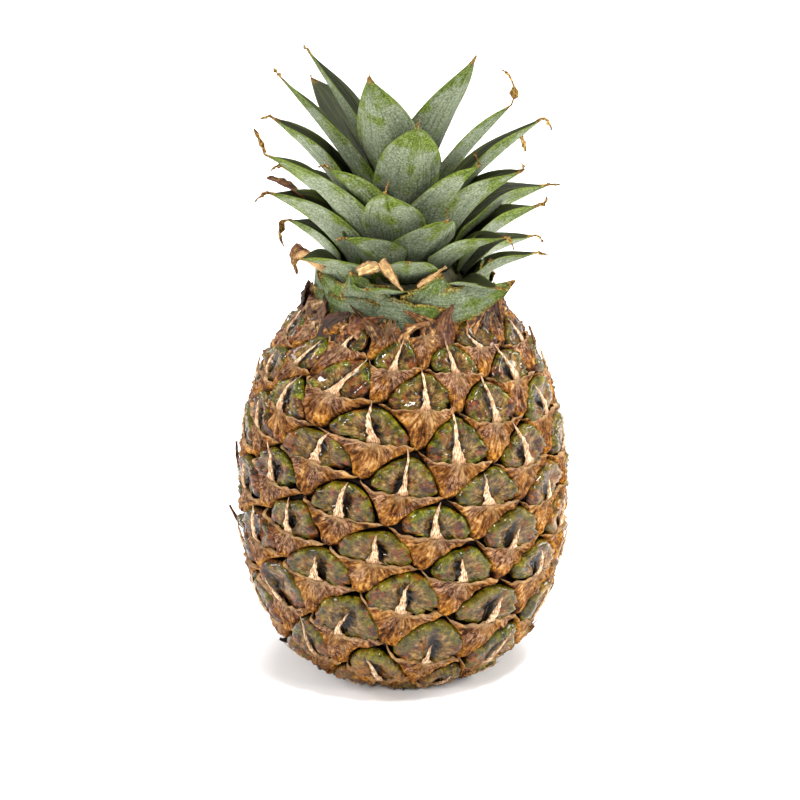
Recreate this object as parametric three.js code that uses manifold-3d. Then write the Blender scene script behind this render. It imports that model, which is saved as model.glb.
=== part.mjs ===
// A whole pineapple standing upright: the fruit with its eyes, and a crown of short stout leaves.
// Millimetres, +Z up. The origin is the centre of the flat spot that the fruit stands on.
// Angles round the fruit are in degrees from the front (-Y), growing towards +X.
import * as THREE from "three";
import { mergeVertices } from "three/addons/utils/BufferGeometryUtils.js";
import Module from "manifold-3d";

// Body outline
const bodyRadius = 59.4; // at the middle of the eyes' relief, 122 across the crests
const widestHeight = 70;
const lowerHeight = 73.5; // from the widest ring down to where the rounded bottom would close
const lowerRoundness = 2.5; // 2 is an ellipse, more is squarer
const upperHeight = 84.5;
const upperRoundness = 2.15;
const footRadius = 25; // flat spot underneath
const neckRadius = 27; // where the skin gives way to the crown
const neckHeight = 146.5;

// Eyes: each follows the last one by the golden angle, a little higher up
const goldenAngle = 137.63;
const skinSteps = 400; // of the outline
const frontEyeAngle = -0.5;
const frontEyeHeight = 87.5;
const lowestEye = -84;
const highestEye = 78;
// rise along the skin from one eye to the next: [eye number, mm]
const eyeRise = [
  [-100, 1.0],
  [-68, 1.05],
  [-47, 2.05],
  [-34, 1.75],
  [-21, 1.3],
  [0, 1.25],
  [8, 1.5],
  [21, 1.35],
  [34, 1.08],
  [100, 1.0],
];
// a patch on the left shoulder where the eyes have drifted round
const drift = { angle: -38, eye: 24, shift: -12, angleSpread: 22, eyeSpread: 8 };
const eyePitch = new THREE.Vector2(21.3, 10.5); // to the eye 8 further on, at the widest ring
const eyePitchUp = new THREE.Vector2(-13.2, 17); // to the eye 13 further on

// Crown
const stemBaseRadius = 25;
const stemShoulderRadius = 15;
const stemShoulderHeight = 164;
const stemTopHeight = 184;
const stemTopRadius = 3;
const lowestLeaf = -25;
const highestLeaf = 17;
const frontLeafAngle = -10;
const leafAngle = 137.5;
const leafThickness = 1.5;
const leafWidestShare = 0.3; // how far out a leaf is widest
const leafFootWidth = 0.64; // of the widest
const leafTaper = 1.9; // how full the leaf stays towards its tip
const channelDepth = 0.2; // how far its edges stand up, of half its width
const footBend = 0.34; // how far out a leaf turns from rising to spreading
const gap = 0.3;
const footClearance = 0.6; // from the stem to a leaf's foot, whose flat facets dip towards it

const skinColour = new THREE.Color("#8a7440");
const stemColour = new THREE.Color("#b9b483");
const leafColour = new THREE.Color("#7f9a72");

// A repeatable number from 0 to 1 for a numbered thing and one of its features
function chance(number, feature) {
  const wave = Math.sin(number * 12.9898 + feature * 78.233) * 43758.5453;
  return wave - Math.floor(wave);
}

function spread(number, feature, amount) {
  return (2 * chance(number, feature) - 1) * amount;
}

function between(table, x) {
  const next = Math.max(
    1,
    Math.min(table.length - 1, table.findIndex(([at]) => at > x)),
  );
  const [x0, y0] = table[next - 1];
  const [x1, y1] = table[next];
  return y0 + ((y1 - y0) * (x - x0)) / (x1 - x0);
}

// The body's outline from below the flat spot to above the neck, as [radius, height] in small steps.
// Below the flat spot and above the neck it runs on straight, and the planes there cut it off.
function bodyOutline() {
  const outline = [];
  for (let i = 0; i <= skinSteps; i++) {
    const angle = (Math.PI * i) / skinSteps - Math.PI / 2;
    const [height, roundness] =
      angle < 0
        ? [lowerHeight, lowerRoundness]
        : [upperHeight, upperRoundness];
    const radius = bodyRadius * Math.cos(angle) ** (2 / roundness);
    const rise = height * Math.abs(Math.sin(angle)) ** (2 / roundness);
    const z = widestHeight + Math.sign(angle) * rise;
    const kept = angle < 0 ? radius > footRadius : radius > neckRadius;
    if (kept) outline.push([radius, z]);
  }
  const below = outline[0];
  const above = outline[outline.length - 1];
  const tail = 45; // long enough for the last eyes
  outline.unshift([below[0] - 14, below[1] - tail]);
  outline.push([above[0] - 4, above[1] + tail]);
  return outline;
}

const outline = bodyOutline();
const lengths = [0];
for (let i = 1; i < outline.length; i++) {
  const [r0, z0] = outline[i - 1];
  const [r1, z1] = outline[i];
  lengths.push(lengths[i - 1] + Math.hypot(r1 - r0, z1 - z0));
}

// Radius, height and outward lean of the skin at a distance along the outline
function skinAt(distance) {
  const last = lengths.length - 1;
  let i = lengths.findIndex((length) => length > distance);
  i = i < 0 ? last : Math.max(1, i);
  const share = (distance - lengths[i - 1]) / (lengths[i] - lengths[i - 1]);
  const [r0, z0] = outline[i - 1];
  const [r1, z1] = outline[i];
  const along = new THREE.Vector2(r1 - r0, z1 - z0).normalize();
  return {
    radius: r0 + (r1 - r0) * share,
    height: z0 + (z1 - z0) * share,
    lean: new THREE.Vector2(along.y, -along.x),
  };
}

const frontEyeDistance =
  lengths[outline.findIndex(([, height]) => height > frontEyeHeight)];

// Distance along the skin from the front eye to any eye number, whole or not
const riseStep = 0.25;
const risen = new Map([[0, 0]]);
for (const way of [1, -1]) {
  let total = 0;
  for (let i = 1; i * riseStep < 110; i++) {
    total += way * riseStep * between(eyeRise, way * (i - 0.5) * riseStep);
    risen.set(way * i, total);
  }
}

function riseTo(eye) {
  const place = eye / riseStep;
  const low = Math.floor(place);
  return (
    risen.get(low) + (risen.get(low + 1) - risen.get(low)) * (place - low)
  );
}

// Steps of 8 and 13 eyes come back nearly above the start: they are the two sides of an eye's cell.
const turn8 = 8 * goldenAngle - 3 * 360;
const turn13 = 13 * goldenAngle - 5 * 360;

// A point of an eye's cell: x and y across and up from the eye's middle at the widest ring, and out.
function skinPoint(eye, x, y, out) {
  const whole = eyePitch.x * eyePitchUp.y - eyePitch.y * eyePitchUp.x;
  const share8 = (x * eyePitchUp.y - y * eyePitchUp.x) / whole;
  const share13 = (eyePitch.x * y - eyePitch.y * x) / whole;
  const number = eye + 8 * share8 + 13 * share13;
  let angle =
    frontEyeAngle + eye * goldenAngle + share8 * turn8 + share13 * turn13;
  const aside = THREE.MathUtils.euclideanModulo(angle - drift.angle + 180, 360) - 180;
  const near =
    Math.exp(-((aside / drift.angleSpread) ** 2) / 2) *
    Math.exp(-(((number - drift.eye) / drift.eyeSpread) ** 2) / 2);
  angle = THREE.MathUtils.degToRad(angle + drift.shift * near);
  const skin = skinAt(frontEyeDistance + riseTo(number));
  const radius = skin.radius + out * skin.lean.x;
  return new THREE.Vector3(
    radius * Math.sin(angle),
    -radius * Math.cos(angle),
    skin.height + out * skin.lean.y,
  );
}

// The corners of an eye's six-sided cell, from upper right round to the left
function cellPoint(share8, share13, out, push = 0) {
  const at = new THREE.Vector2()
    .addScaledVector(eyePitch, share8)
    .addScaledVector(eyePitchUp, share13);
  at.setLength(at.length() + push);
  return [at.x, at.y, out];
}

// One eye as triangles: a rounded green shield above, the papery bract below it, and the bract's
// spike, which lies over the shield. The cell's rim is shared with the eyes around it.
function eyeTriangles(eye) {
  const groove = -2.2;
  const meet = -1.7; // at the corners, where three cells come together
  const bulge = 3;
  const corner1 = cellPoint(2 / 3, 1 / 3, meet);
  const top = cellPoint(1 / 2, 1 / 2, groove, 0.4);
  const corner2 = cellPoint(1 / 3, 2 / 3, meet);
  const left = cellPoint(0, 1 / 2, groove, bulge);
  const corner3 = cellPoint(-1 / 3, 1 / 3, meet);
  const corner6 = cellPoint(1 / 3, -1 / 3, meet);
  const right = cellPoint(1 / 2, 0, groove, bulge);
  // the rims below belong to the shields underneath, so they are those rims moved one pitch down
  const moved = ([x, y, out], pitch, times) => [
    x + pitch.x * times,
    y + pitch.y * times,
    out,
  ];
  const bothPitches = eyePitch.clone().add(eyePitchUp);
  const lowerLeft = moved(right, eyePitch, -1);
  const corner4 = moved(corner2, bothPitches, -1);
  const bottom = moved(top, bothPitches, -1);
  const corner5 = moved(corner1, bothPitches, -1);
  const lowerRight = moved(left, eyePitchUp, -1);
  const shieldRim = [corner3, left, corner2, top, corner1, right, corner6];
  const bractRim = [
    corner3,
    lowerLeft,
    corner4,
    bottom,
    corner5,
    lowerRight,
    corner6,
  ];

  const swell = 1 + spread(eye, 1, 0.25);
  const inwards = ([x, y], share, out) => [
    x * share,
    2.5 + (y - 2.5) * share,
    out * swell,
  ];
  const shoulder = shieldRim.map((at) => inwards(at, 0.91, 0.6));
  const crest = shieldRim.map((at) => inwards(at, 0.72, 2));
  crest[0] = inwards(shieldRim[0], 0.75, 0.9);
  crest[6] = inwards(shieldRim[6], 0.75, 0.9);
  shoulder[0] = inwards(shieldRim[0], 0.9, 0.1);
  shoulder[6] = inwards(shieldRim[6], 0.9, 0.1);
  const middle = [0.4, 5.2, 1.5 * swell];
  const footLeft = [-4.2, 1.2, 0];
  const footRight = [4.4, 0.4, 0];

  const lipLeft = [-6, -0.2, 1.1];
  const lipRight = [6.4, -1.7, 1.1];
  const spikeLeft = [-2, 0.3, 1.9];
  const spikeRight = [2.1, -0.1, 1.9];
  const spikeFront = [0, -2.2, 2.7];
  const spikeTip = [
    0.6 + spread(eye, 2, 3),
    12.4 + spread(eye, 3, 1.8),
    4.2 + spread(eye, 4, 0.7),
  ];
  const foldLeft = [-5.6 + spread(eye, 5, 0.6), -4.6, 0.9];
  const fold = [-0.7, -8.8 + spread(eye, 6, 0.8), 1.3];
  const foldRight = [6.2 + spread(eye, 7, 0.6), -5.8, 0.9];

  const faces = [];
  const strip = (outer, inner) => {
    for (let i = 0; i + 1 < outer.length; i++) {
      faces.push([outer[i], inner[i], outer[i + 1]]);
      faces.push([inner[i], inner[i + 1], outer[i + 1]]);
    }
  };
  strip(shieldRim, shoulder);
  strip(shoulder, crest);
  for (let i = 0; i + 1 < crest.length; i++)
    faces.push([crest[i], middle, crest[i + 1]]);
  faces.push([crest[0], footLeft, middle]);
  faces.push([footLeft, footRight, middle]);
  faces.push([footRight, crest[6], middle]);
  // the dark slit between the shield and the bract's lip
  faces.push([corner3, lipLeft, shoulder[0]]);
  faces.push([shoulder[0], lipLeft, crest[0]]);
  faces.push([crest[0], lipLeft, footLeft]);
  faces.push([footLeft, lipLeft, spikeLeft]);
  faces.push([footLeft, spikeLeft, footRight]);
  faces.push([footRight, spikeLeft, spikeRight]);
  faces.push([footRight, spikeRight, lipRight]);
  faces.push([footRight, lipRight, crest[6]]);
  faces.push([crest[6], lipRight, shoulder[6]]);
  faces.push([shoulder[6], lipRight, corner6]);
  // the spike
  faces.push([spikeTip, spikeLeft, spikeFront]);
  faces.push([spikeTip, spikeFront, spikeRight]);
  faces.push([spikeTip, spikeRight, spikeLeft]);
  // the bract's upper half
  faces.push([corner3, foldLeft, lipLeft]);
  faces.push([lipLeft, foldLeft, spikeLeft]);
  faces.push([spikeLeft, foldLeft, spikeFront]);
  faces.push([spikeFront, foldLeft, fold]);
  faces.push([spikeFront, fold, foldRight]);
  faces.push([spikeFront, foldRight, spikeRight]);
  faces.push([spikeRight, foldRight, lipRight]);
  faces.push([lipRight, foldRight, corner6]);
  // the bract's lower half
  const [, rim1, rim2, rim3, rim4, rim5] = bractRim;
  faces.push([corner3, rim1, foldLeft]);
  faces.push([rim1, rim2, foldLeft]);
  faces.push([rim2, fold, foldLeft]);
  faces.push([rim2, rim3, fold]);
  faces.push([rim3, rim4, fold]);
  faces.push([rim4, foldRight, fold]);
  faces.push([rim4, rim5, foldRight]);
  faces.push([rim5, corner6, foldRight]);
  return faces;
}

function geometryOf(triangles) {
  const flat = triangles.flatMap((corners) =>
    corners.flatMap((corner) => corner.toArray()),
  );
  const loose = new THREE.BufferGeometry();
  loose.setAttribute("position", new THREE.Float32BufferAttribute(flat, 3));
  return mergeVertices(loose, 1e-3);
}

// Closes the two ragged ends of the eyes' net, each with a fan to a point on the axis.
function closeEnds(geometry) {
  const index = Array.from(geometry.index.array);
  const position = geometry.getAttribute("position");
  const edges = new Map();
  for (let i = 0; i < index.length; i += 3)
    for (const [from, to] of [[0, 1], [1, 2], [2, 0]])
      edges.set(index[i + from] + "," + index[i + to], [
        index[i + from],
        index[i + to],
      ]);
  const open = [...edges.values()].filter(
    ([from, to]) => !edges.has(to + "," + from),
  );
  const places = Array.from(position.array);
  for (const side of [-1, 1]) {
    const loop = open.filter(
      ([from]) => Math.sign(position.getZ(from) - widestHeight) === side,
    );
    const middle = loop.reduce((sum, [from]) => sum + position.getZ(from), 0);
    const pole = places.length / 3;
    places.push(0, 0, middle / loop.length);
    for (const [from, to] of loop) index.push(to, from, pole);
  }
  const closed = new THREE.BufferGeometry();
  closed.setAttribute("position", new THREE.Float32BufferAttribute(places, 3));
  closed.setIndex(index);
  return closed;
}

const wasm = await Module();
wasm.setup();

function solidOf(geometry) {
  const bare = geometry.clone();
  bare.deleteAttribute("normal");
  bare.deleteAttribute("uv");
  const merged = mergeVertices(bare, 1e-3);
  return new wasm.Manifold(
    new wasm.Mesh({
      numProp: 3,
      vertProperties: merged.getAttribute("position").array,
      triVerts: new Uint32Array(merged.index.array),
    }),
  );
}

function geometryFrom(solid) {
  const { vertProperties, triVerts } = solid.getMesh();
  const geometry = new THREE.BufferGeometry();
  geometry.setAttribute(
    "position",
    new THREE.BufferAttribute(vertProperties, 3),
  );
  geometry.setIndex(new THREE.BufferAttribute(triVerts, 1));
  return geometry;
}

function fruitGeometry() {
  const triangles = [];
  for (let eye = lowestEye; eye <= highestEye; eye++)
    for (const corners of eyeTriangles(eye))
      triangles.push(corners.map(([x, y, out]) => skinPoint(eye, x, y, out)));
  const whole = solidOf(closeEnds(geometryOf(triangles)));
  const slab = new THREE.BoxGeometry(200, 200, neckHeight);
  slab.translate(0, 0, neckHeight / 2);
  // the planes leave loose ends of the spikes that cross them, and only the fruit is kept
  const bodies = whole.intersect(solidOf(slab)).decompose();
  bodies.sort((one, other) => other.volume() - one.volume());
  return geometryFrom(bodies[0]);
}

// The stem's outline carries the leaves: share 0 at its foot and 1 at its top
function stemAt(share) {
  const shoulder = 0.55;
  const foot = new THREE.Vector2(stemBaseRadius, neckHeight + 1.2);
  const bend = new THREE.Vector2(stemShoulderRadius, stemShoulderHeight);
  const top = new THREE.Vector2(stemTopRadius, stemTopHeight);
  return share < shoulder
    ? foot.lerp(bend, share / shoulder)
    : bend.lerp(top, (share - shoulder) / (1 - shoulder));
}

function stemRadiusAt(height) {
  return between(
    [
      [neckHeight, stemBaseRadius],
      [stemShoulderHeight, stemShoulderRadius],
      [stemTopHeight, stemTopRadius],
      [stemTopHeight + 0.1, 0],
      [stemTopHeight + 100, 0],
    ],
    height,
  );
}

function stemGeometry() {
  const profile = [
    new THREE.Vector2(0, neckHeight + gap),
    new THREE.Vector2(stemBaseRadius, neckHeight + gap),
    new THREE.Vector2(stemShoulderRadius, stemShoulderHeight),
    new THREE.Vector2(stemTopRadius, stemTopHeight),
    new THREE.Vector2(0, stemTopHeight),
  ];
  const geometry = new THREE.LatheGeometry(profile, 16);
  geometry.rotateX(Math.PI / 2);
  return geometry;
}

// Where a leaf's tip stands: [leaf number, reach from the axis], and the same with its height
const tipReach = [
  [-25, 37],
  [-19, 46],
  [-10, 50],
  [0, 47],
  [8, 42],
  [18, 36],
];
const tipHeight = [
  [-25, 154],
  [-10, 178],
  [0, 198],
  [16, 242],
  [18, 242],
];
// at the back the leaves lie lower
const tipHeightBehind = [
  [-25, 154],
  [-9, 177],
  [4, 190],
  [18, 206],
];
// leaves that stand out from the rule: [reach, height, width, degrees round], as far as they differ
const ownTip = new Map([
  [-24, [38, 163]],
  [-23, [50, 164.5, 16, 9]],
  [-20, [52, 161, 20, -8]],
  [-19, [43.5, 170.5, 18]],
  [-18, [48, 158.5, 17, 10]],
  [-15, [50, 178.5, 19, 4]],
  [-11, [49, 185.5]],
  [-10, [45, 175]],
  [-8, [42, 178]],
  [-7, [56, 181.5]],
  [-6, [47, 189, 20, 6]],
  [-5, [42, 185]],
  [-4, [46, 178]],
  [-3, [56, 206]],
  [-2, [45, 195.6]],
  [-1, [45, 190]],
  [0, [46, 198, 24, 2]],
  [1, [53, 196, 13]],
  [2, [48, 211, 19]],
  [3, [41, 203.5, 21]],
  [4, [40, 196, 20]],
  [5, [41, 203, 21]],
  [6, [51, 210.5, 15]],
  [7, [43, 220]],
  [8, [42, 221.5, 24, -3]],
  [9, [23, 202, 13]],
  [10, [46, 231, 19]],
  [11, [44, 223, 18]],
  [12, [19, 201, 10]],
  [13, [45, 239, 28, 7]],
  [14, [20, 213, 9]],
  [15, [37, 235, 15]],
  [16, [40, 243, 27, 10]],
  [17, [7, 208, 9]],
]);
const leafWidth = [
  [-25, 22],
  [-15, 25],
  [8, 25],
  [18, 20],
];

function leafGeometry(leaf) {
  const share = (leaf - lowestLeaf) / (highestLeaf - lowestLeaf + 1.5);
  const foot = stemAt(share);
  const usualAngle = frontLeafAngle + leaf * leafAngle;
  const fromFront = Math.abs(THREE.MathUtils.euclideanModulo(usualAngle + 180, 360) - 180);
  const behind = THREE.MathUtils.smoothstep(fromFront, 115, 150);
  const usual = [
    between(tipReach, leaf) + spread(leaf, 11, 0.8),
    THREE.MathUtils.lerp(
      between(tipHeight, leaf),
      between(tipHeightBehind, leaf),
      behind,
    ),
    between(leafWidth, leaf),
    0,
  ];
  const own = ownTip.get(leaf) ?? [];
  const [reach, rise, width, turned] = usual.map((value, i) => own[i] ?? value);
  const tip = new THREE.Vector2(reach, rise);
  // low leaves arch over, high ones are nearly straight
  const straight = THREE.MathUtils.smoothstep(share, 0.5, 0.8);
  const bend = new THREE.Vector2(
    THREE.MathUtils.lerp(foot.x, tip.x, footBend + 0.08 * straight),
    THREE.MathUtils.lerp(foot.y, tip.y, 0.66 - 0.12 * straight),
  );
  const spine = new THREE.QuadraticBezierCurve(foot, bend, tip);
  const angle = THREE.MathUtils.degToRad(usualAngle + turned);
  const rows = 5;
  const columns = 4;
  const faces = [[], []];
  for (let row = 0; row <= rows; row++) {
    const t = row / rows;
    const at = spine.getPoint(t);
    const along = spine.getTangent(t);
    const inward = new THREE.Vector2(-along.y, along.x);
    const body =
      t < leafWidestShare
        ? THREE.MathUtils.lerp(leafFootWidth, 1, t / leafWidestShare)
        : 1 - ((t - leafWidestShare) / (1 - leafWidestShare)) ** leafTaper;
    const half = Math.max(0.5, (width / 2) * body);
    for (let column = 0; column <= columns; column++) {
      const side = (2 * column) / columns - 1;
      const channel =
        channelDepth * half * Math.abs(side) ** 1.5 * Math.min(1, t * 3);
      const thick = leafThickness * (1 - 0.55 * Math.abs(side)) * (1 - 0.4 * t);
      for (const face of [0, 1]) {
        const lift = channel + (face === 0 ? 0.5 : -0.5) * thick + thick / 2;
        const height = at.y + inward.y * lift;
        const radius = Math.max(
          at.x + inward.x * lift,
          stemRadiusAt(height) + footClearance,
        );
        const round = angle + (side * half) / Math.max(radius, 8);
        faces[face].push(
          new THREE.Vector3(
            radius * Math.sin(round),
            -radius * Math.cos(round),
            height,
          ),
        );
      }
    }
  }
  const triangles = [];
  const quad = (a, b, c, d) => triangles.push([a, b, c], [a, c, d]);
  const [upper, under] = faces;
  const wide = columns + 1;
  for (let row = 0; row < rows; row++) {
    const here = row * wide;
    const next = here + wide;
    for (let column = 0; column < columns; column++) {
      const [a, b] = [here + column, here + column + 1];
      const [c, d] = [next + column + 1, next + column];
      triangles.push([upper[b], upper[a], upper[c]]);
      triangles.push([upper[a], upper[d], upper[c]]);
      triangles.push([under[a], under[b], under[c]]);
      triangles.push([under[a], under[c], under[d]]);
    }
    quad(upper[here], under[here], under[next], upper[next]);
    const last = here + columns;
    const lastNext = next + columns;
    quad(under[last], upper[last], upper[lastNext], under[lastNext]);
  }
  const end = rows * wide;
  for (let column = 0; column < columns; column++) {
    quad(upper[column], upper[column + 1], under[column + 1], under[column]);
    const at = end + column;
    quad(upper[at + 1], upper[at], under[at], under[at + 1]);
  }
  return geometryOf(triangles);
}

function part(name, geometry, colour, roughness) {
  geometry.computeVertexNormals();
  const material = new THREE.MeshStandardMaterial({ color: colour, roughness });
  const mesh = new THREE.Mesh(geometry, material);
  mesh.name = name;
  return mesh;
}

const pineapple = new THREE.Group();
pineapple.add(part("fruit", fruitGeometry(), skinColour, 0.55));
pineapple.add(part("crown_stem", stemGeometry(), stemColour, 0.7));
for (let leaf = lowestLeaf; leaf <= highestLeaf; leaf++) {
  const number = String(leaf - lowestLeaf + 1).padStart(2, "0");
  pineapple.add(part("leaf_" + number, leafGeometry(leaf), leafColour, 0.5));
}

export default pineapple;
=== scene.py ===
# %% [markdown]
# # A whole pineapple with its crown
# The solid model gives the size and the places: one solid for the fruit, one for the stem of the
# crown and one for each leaf. Here each of them gets the surface of the real thing. The rind is
# rebuilt from its own parts, eye by eye, because that is how a pineapple grows.

# %% Load the solids
import math

import bpy
import numpy as np
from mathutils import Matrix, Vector


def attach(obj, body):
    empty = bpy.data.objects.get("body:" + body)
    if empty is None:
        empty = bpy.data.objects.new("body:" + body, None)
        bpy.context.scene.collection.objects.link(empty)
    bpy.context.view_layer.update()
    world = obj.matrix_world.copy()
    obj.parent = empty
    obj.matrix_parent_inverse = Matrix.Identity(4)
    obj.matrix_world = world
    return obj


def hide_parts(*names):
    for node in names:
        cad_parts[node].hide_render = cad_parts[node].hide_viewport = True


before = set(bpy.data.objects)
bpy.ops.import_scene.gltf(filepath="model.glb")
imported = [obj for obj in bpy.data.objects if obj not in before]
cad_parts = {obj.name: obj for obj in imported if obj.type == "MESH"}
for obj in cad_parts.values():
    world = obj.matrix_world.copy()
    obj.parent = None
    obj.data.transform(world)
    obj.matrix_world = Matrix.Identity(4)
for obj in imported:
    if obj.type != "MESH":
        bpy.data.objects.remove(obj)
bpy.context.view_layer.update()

MM = 0.001
print("solids:", len(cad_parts), "nodes")

# %% [markdown]
# ## Camera
# The photograph looks down on the fruit at about 20 degrees through a long lens, so the sides stay
# nearly parallel. The camera aims between the fruit's middle and its crown, with no shift.

# %% Place the camera
LOOK_DOWN = math.radians(22.0)  # from the camera to the fruit's middle
CAMERA_DISTANCE = 1300 * MM
FRUIT_MIDDLE = Vector((0, 0, 66.5 * MM))
PICTURE_PIXELS, FOCAL_PIXELS, SENSOR_WIDTH = 800, 3447, 36
MIDDLE_BELOW, MIDDLE_RIGHT = 92.4, 3.1  # of the picture's middle, in pixels
camera_data = bpy.data.cameras.new("camera")
camera = bpy.data.objects.new("camera", camera_data)
bpy.context.scene.collection.objects.link(camera)
away = Vector((0, -math.cos(LOOK_DOWN), math.sin(LOOK_DOWN)))
camera.location = FRUIT_MIDDLE + CAMERA_DISTANCE * away
camera_data.sensor_width = SENSOR_WIDTH
camera_data.lens = FOCAL_PIXELS * SENSOR_WIDTH / PICTURE_PIXELS
camera_data.clip_start = 0.05
camera_data.clip_end = 60
aim_down = LOOK_DOWN - math.atan(MIDDLE_BELOW / FOCAL_PIXELS)
aim_left = math.atan(MIDDLE_RIGHT / FOCAL_PIXELS)
camera.rotation_euler = (math.pi / 2 - aim_down, 0, aim_left)
bpy.context.scene.camera = camera
print("camera at", [round(v, 3) for v in camera.location], "lens", round(camera_data.lens, 1))

# %% [markdown]
# ## Small helpers
# A repeatable "chance" for a numbered thing gives each eye and leaf its own character, the same on
# every run. `active` leaves one object selected, because operators act on all that is selected.

# %% Helpers
def chance(number, feature):
    wave = np.sin(number * 12.9898 + feature * 78.233) * 43758.5453
    return wave - np.floor(wave)


def spread(number, feature, amount):
    return (2 * chance(number, feature) - 1) * amount


def smooth(low, high, value):
    share = np.clip((value - low) / (high - low), 0, 1)
    return share * share * (3 - 2 * share)


def hump(*places):
    """1 where each value is at its middle, and less with every width that it is away."""
    return np.exp(sum(-((value - middle) / width) ** 2 for value, middle, width in places))


def active(piece):
    if bpy.context.object and bpy.context.object.mode != "OBJECT":
        bpy.ops.object.mode_set(mode="OBJECT")
    bpy.ops.object.select_all(action="DESELECT")
    piece.select_set(True)
    bpy.context.view_layer.objects.active = piece


def points_of(piece):
    flat = np.zeros(len(piece.data.vertices) * 3)
    piece.data.vertices.foreach_get("co", flat)
    return flat.reshape(-1, 3)


def set_points(piece, points):
    piece.data.vertices.foreach_set("co", np.asarray(points, float).ravel())
    piece.data.update()


def mark(piece, **numbers):
    """Keeps numbers for each point, or one for all of them, for a material to read."""
    for name, values in numbers.items():
        kept = piece.data.attributes.get(name) or piece.data.attributes.new(name, "FLOAT", "POINT")
        kept.data.foreach_set("value", np.full(len(piece.data.vertices), values, np.float32))


def apply_modifiers(piece):
    active(piece)
    for modifier in list(piece.modifiers):
        bpy.ops.object.modifier_apply(modifier=modifier.name)


def face_outward(piece):
    active(piece)
    bpy.ops.object.mode_set(mode="EDIT")
    bpy.ops.mesh.select_all(action="SELECT")
    bpy.ops.mesh.normals_make_consistent(inside=False)
    bpy.ops.object.mode_set(mode="OBJECT")


def join(name, pieces):
    active(pieces[0])
    for piece in pieces:
        piece.select_set(True)
    bpy.ops.object.join()
    joined = bpy.context.object
    joined.name = joined.data.name = name
    bpy.ops.object.shade_smooth()
    return joined


def dress(piece, material):
    piece.data.materials.clear()
    piece.data.materials.append(material)


def triangles(piece):
    return sum(len(polygon.vertices) - 2 for polygon in piece.data.polygons)


def from_angle(angle, middle):
    """How far an angle in degrees is from another, the short way round."""
    return (angle - middle + 180) % 360 - 180


print("helpers ready")

# %% [markdown]
# ## The skin's map
# A pineapple's eyes stand on spirals: each follows the last by 137.6 degrees and a little higher.
# Steps of 8 and of 13 eyes come back nearly above the start, and they are the two slanting sides of
# an eye's cell. This map takes a point of a flat eye, in millimetres, to its place on the round body.
# The numbers are those of the solid fruit. The outline is drawn on past the foot and the neck, so that
# pieces that reach over them still find a place.

# %% The body's outline
BODY_RADIUS, WIDEST_HEIGHT = 59.4, 70
LOWER_HEIGHT, LOWER_ROUNDNESS = 73.5, 2.5
UPPER_HEIGHT, UPPER_ROUNDNESS = 84.5, 2.15
FOOT_RADIUS, NECK_RADIUS, NECK_HEIGHT = 25, 27, 146.5
PAST_FOOT, PAST_NECK, PAST_ENDS = 14, 4, 45  # inward at the foot and at the neck, and up and down

turn = np.linspace(-math.pi / 2, math.pi / 2, 401)
below = turn < 0
roundness = np.where(below, LOWER_ROUNDNESS, UPPER_ROUNDNESS)
outline_radius = BODY_RADIUS * np.clip(np.cos(turn), 0, 1) ** (2 / roundness)
outline_rise = np.where(below, LOWER_HEIGHT, UPPER_HEIGHT) * np.abs(np.sin(turn)) ** (2 / roundness)
outline_height = WIDEST_HEIGHT + np.sign(turn) * outline_rise
kept = outline_radius > np.where(below, FOOT_RADIUS, NECK_RADIUS)
outline_radius, outline_height = outline_radius[kept], outline_height[kept]
outline_radius = np.r_[outline_radius[0] - PAST_FOOT, outline_radius, outline_radius[-1] - PAST_NECK]
outline_height = np.r_[outline_height[0] - PAST_ENDS, outline_height, outline_height[-1] + PAST_ENDS]
steps = np.hypot(np.diff(outline_radius), np.diff(outline_height))
outline_length = np.r_[0, np.cumsum(steps)]
lean_out = np.gradient(outline_height, outline_length)
lean_up = -np.gradient(outline_radius, outline_length)
print("outline", round(outline_length[-1], 1), "mm long")

# %% From a flat eye to the body
GOLDEN_ANGLE, FRONT_EYE_ANGLE, FRONT_EYE_HEIGHT = 137.63, -0.5, 87.5
LOWEST_EYE, HIGHEST_SHIELD, HIGHEST_EYE = -72, 48, 78
# mm along the outline from each eye to the next, at some eyes
EYE_RISE = [(-100, 1), (-68, 1.05), (-47, 2.05), (-34, 1.75), (-21, 1.3), (0, 1.25),
            (8, 1.5), (21, 1.35), (34, 1.08), (100, 1)]
PITCH_8 = np.array([21.3, 10.5])
PITCH_13 = np.array([-13.2, 17.0])
TURN_8, TURN_13 = 8 * GOLDEN_ANGLE - 3 * 360, 13 * GOLDEN_ANGLE - 5 * 360
DRIFT_ANGLE, DRIFT_EYE, DRIFT_SHIFT = -38, 24, -12  # the spirals bend a little at the upper left

EYE_STEP = 0.25
eye_steps = np.arange(-110, 110 + EYE_STEP, EYE_STEP)
rise_each = EYE_STEP * np.interp((eye_steps[1:] + eye_steps[:-1]) / 2, *zip(*EYE_RISE))
eye_distance = np.r_[0, np.cumsum(rise_each)]
eye_distance -= np.interp(0, eye_steps, eye_distance)
eye_distance += outline_length[np.argmax(outline_height > FRONT_EYE_HEIGHT)]
cell_area = PITCH_8[0] * PITCH_13[1] - PITCH_8[1] * PITCH_13[0]

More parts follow.
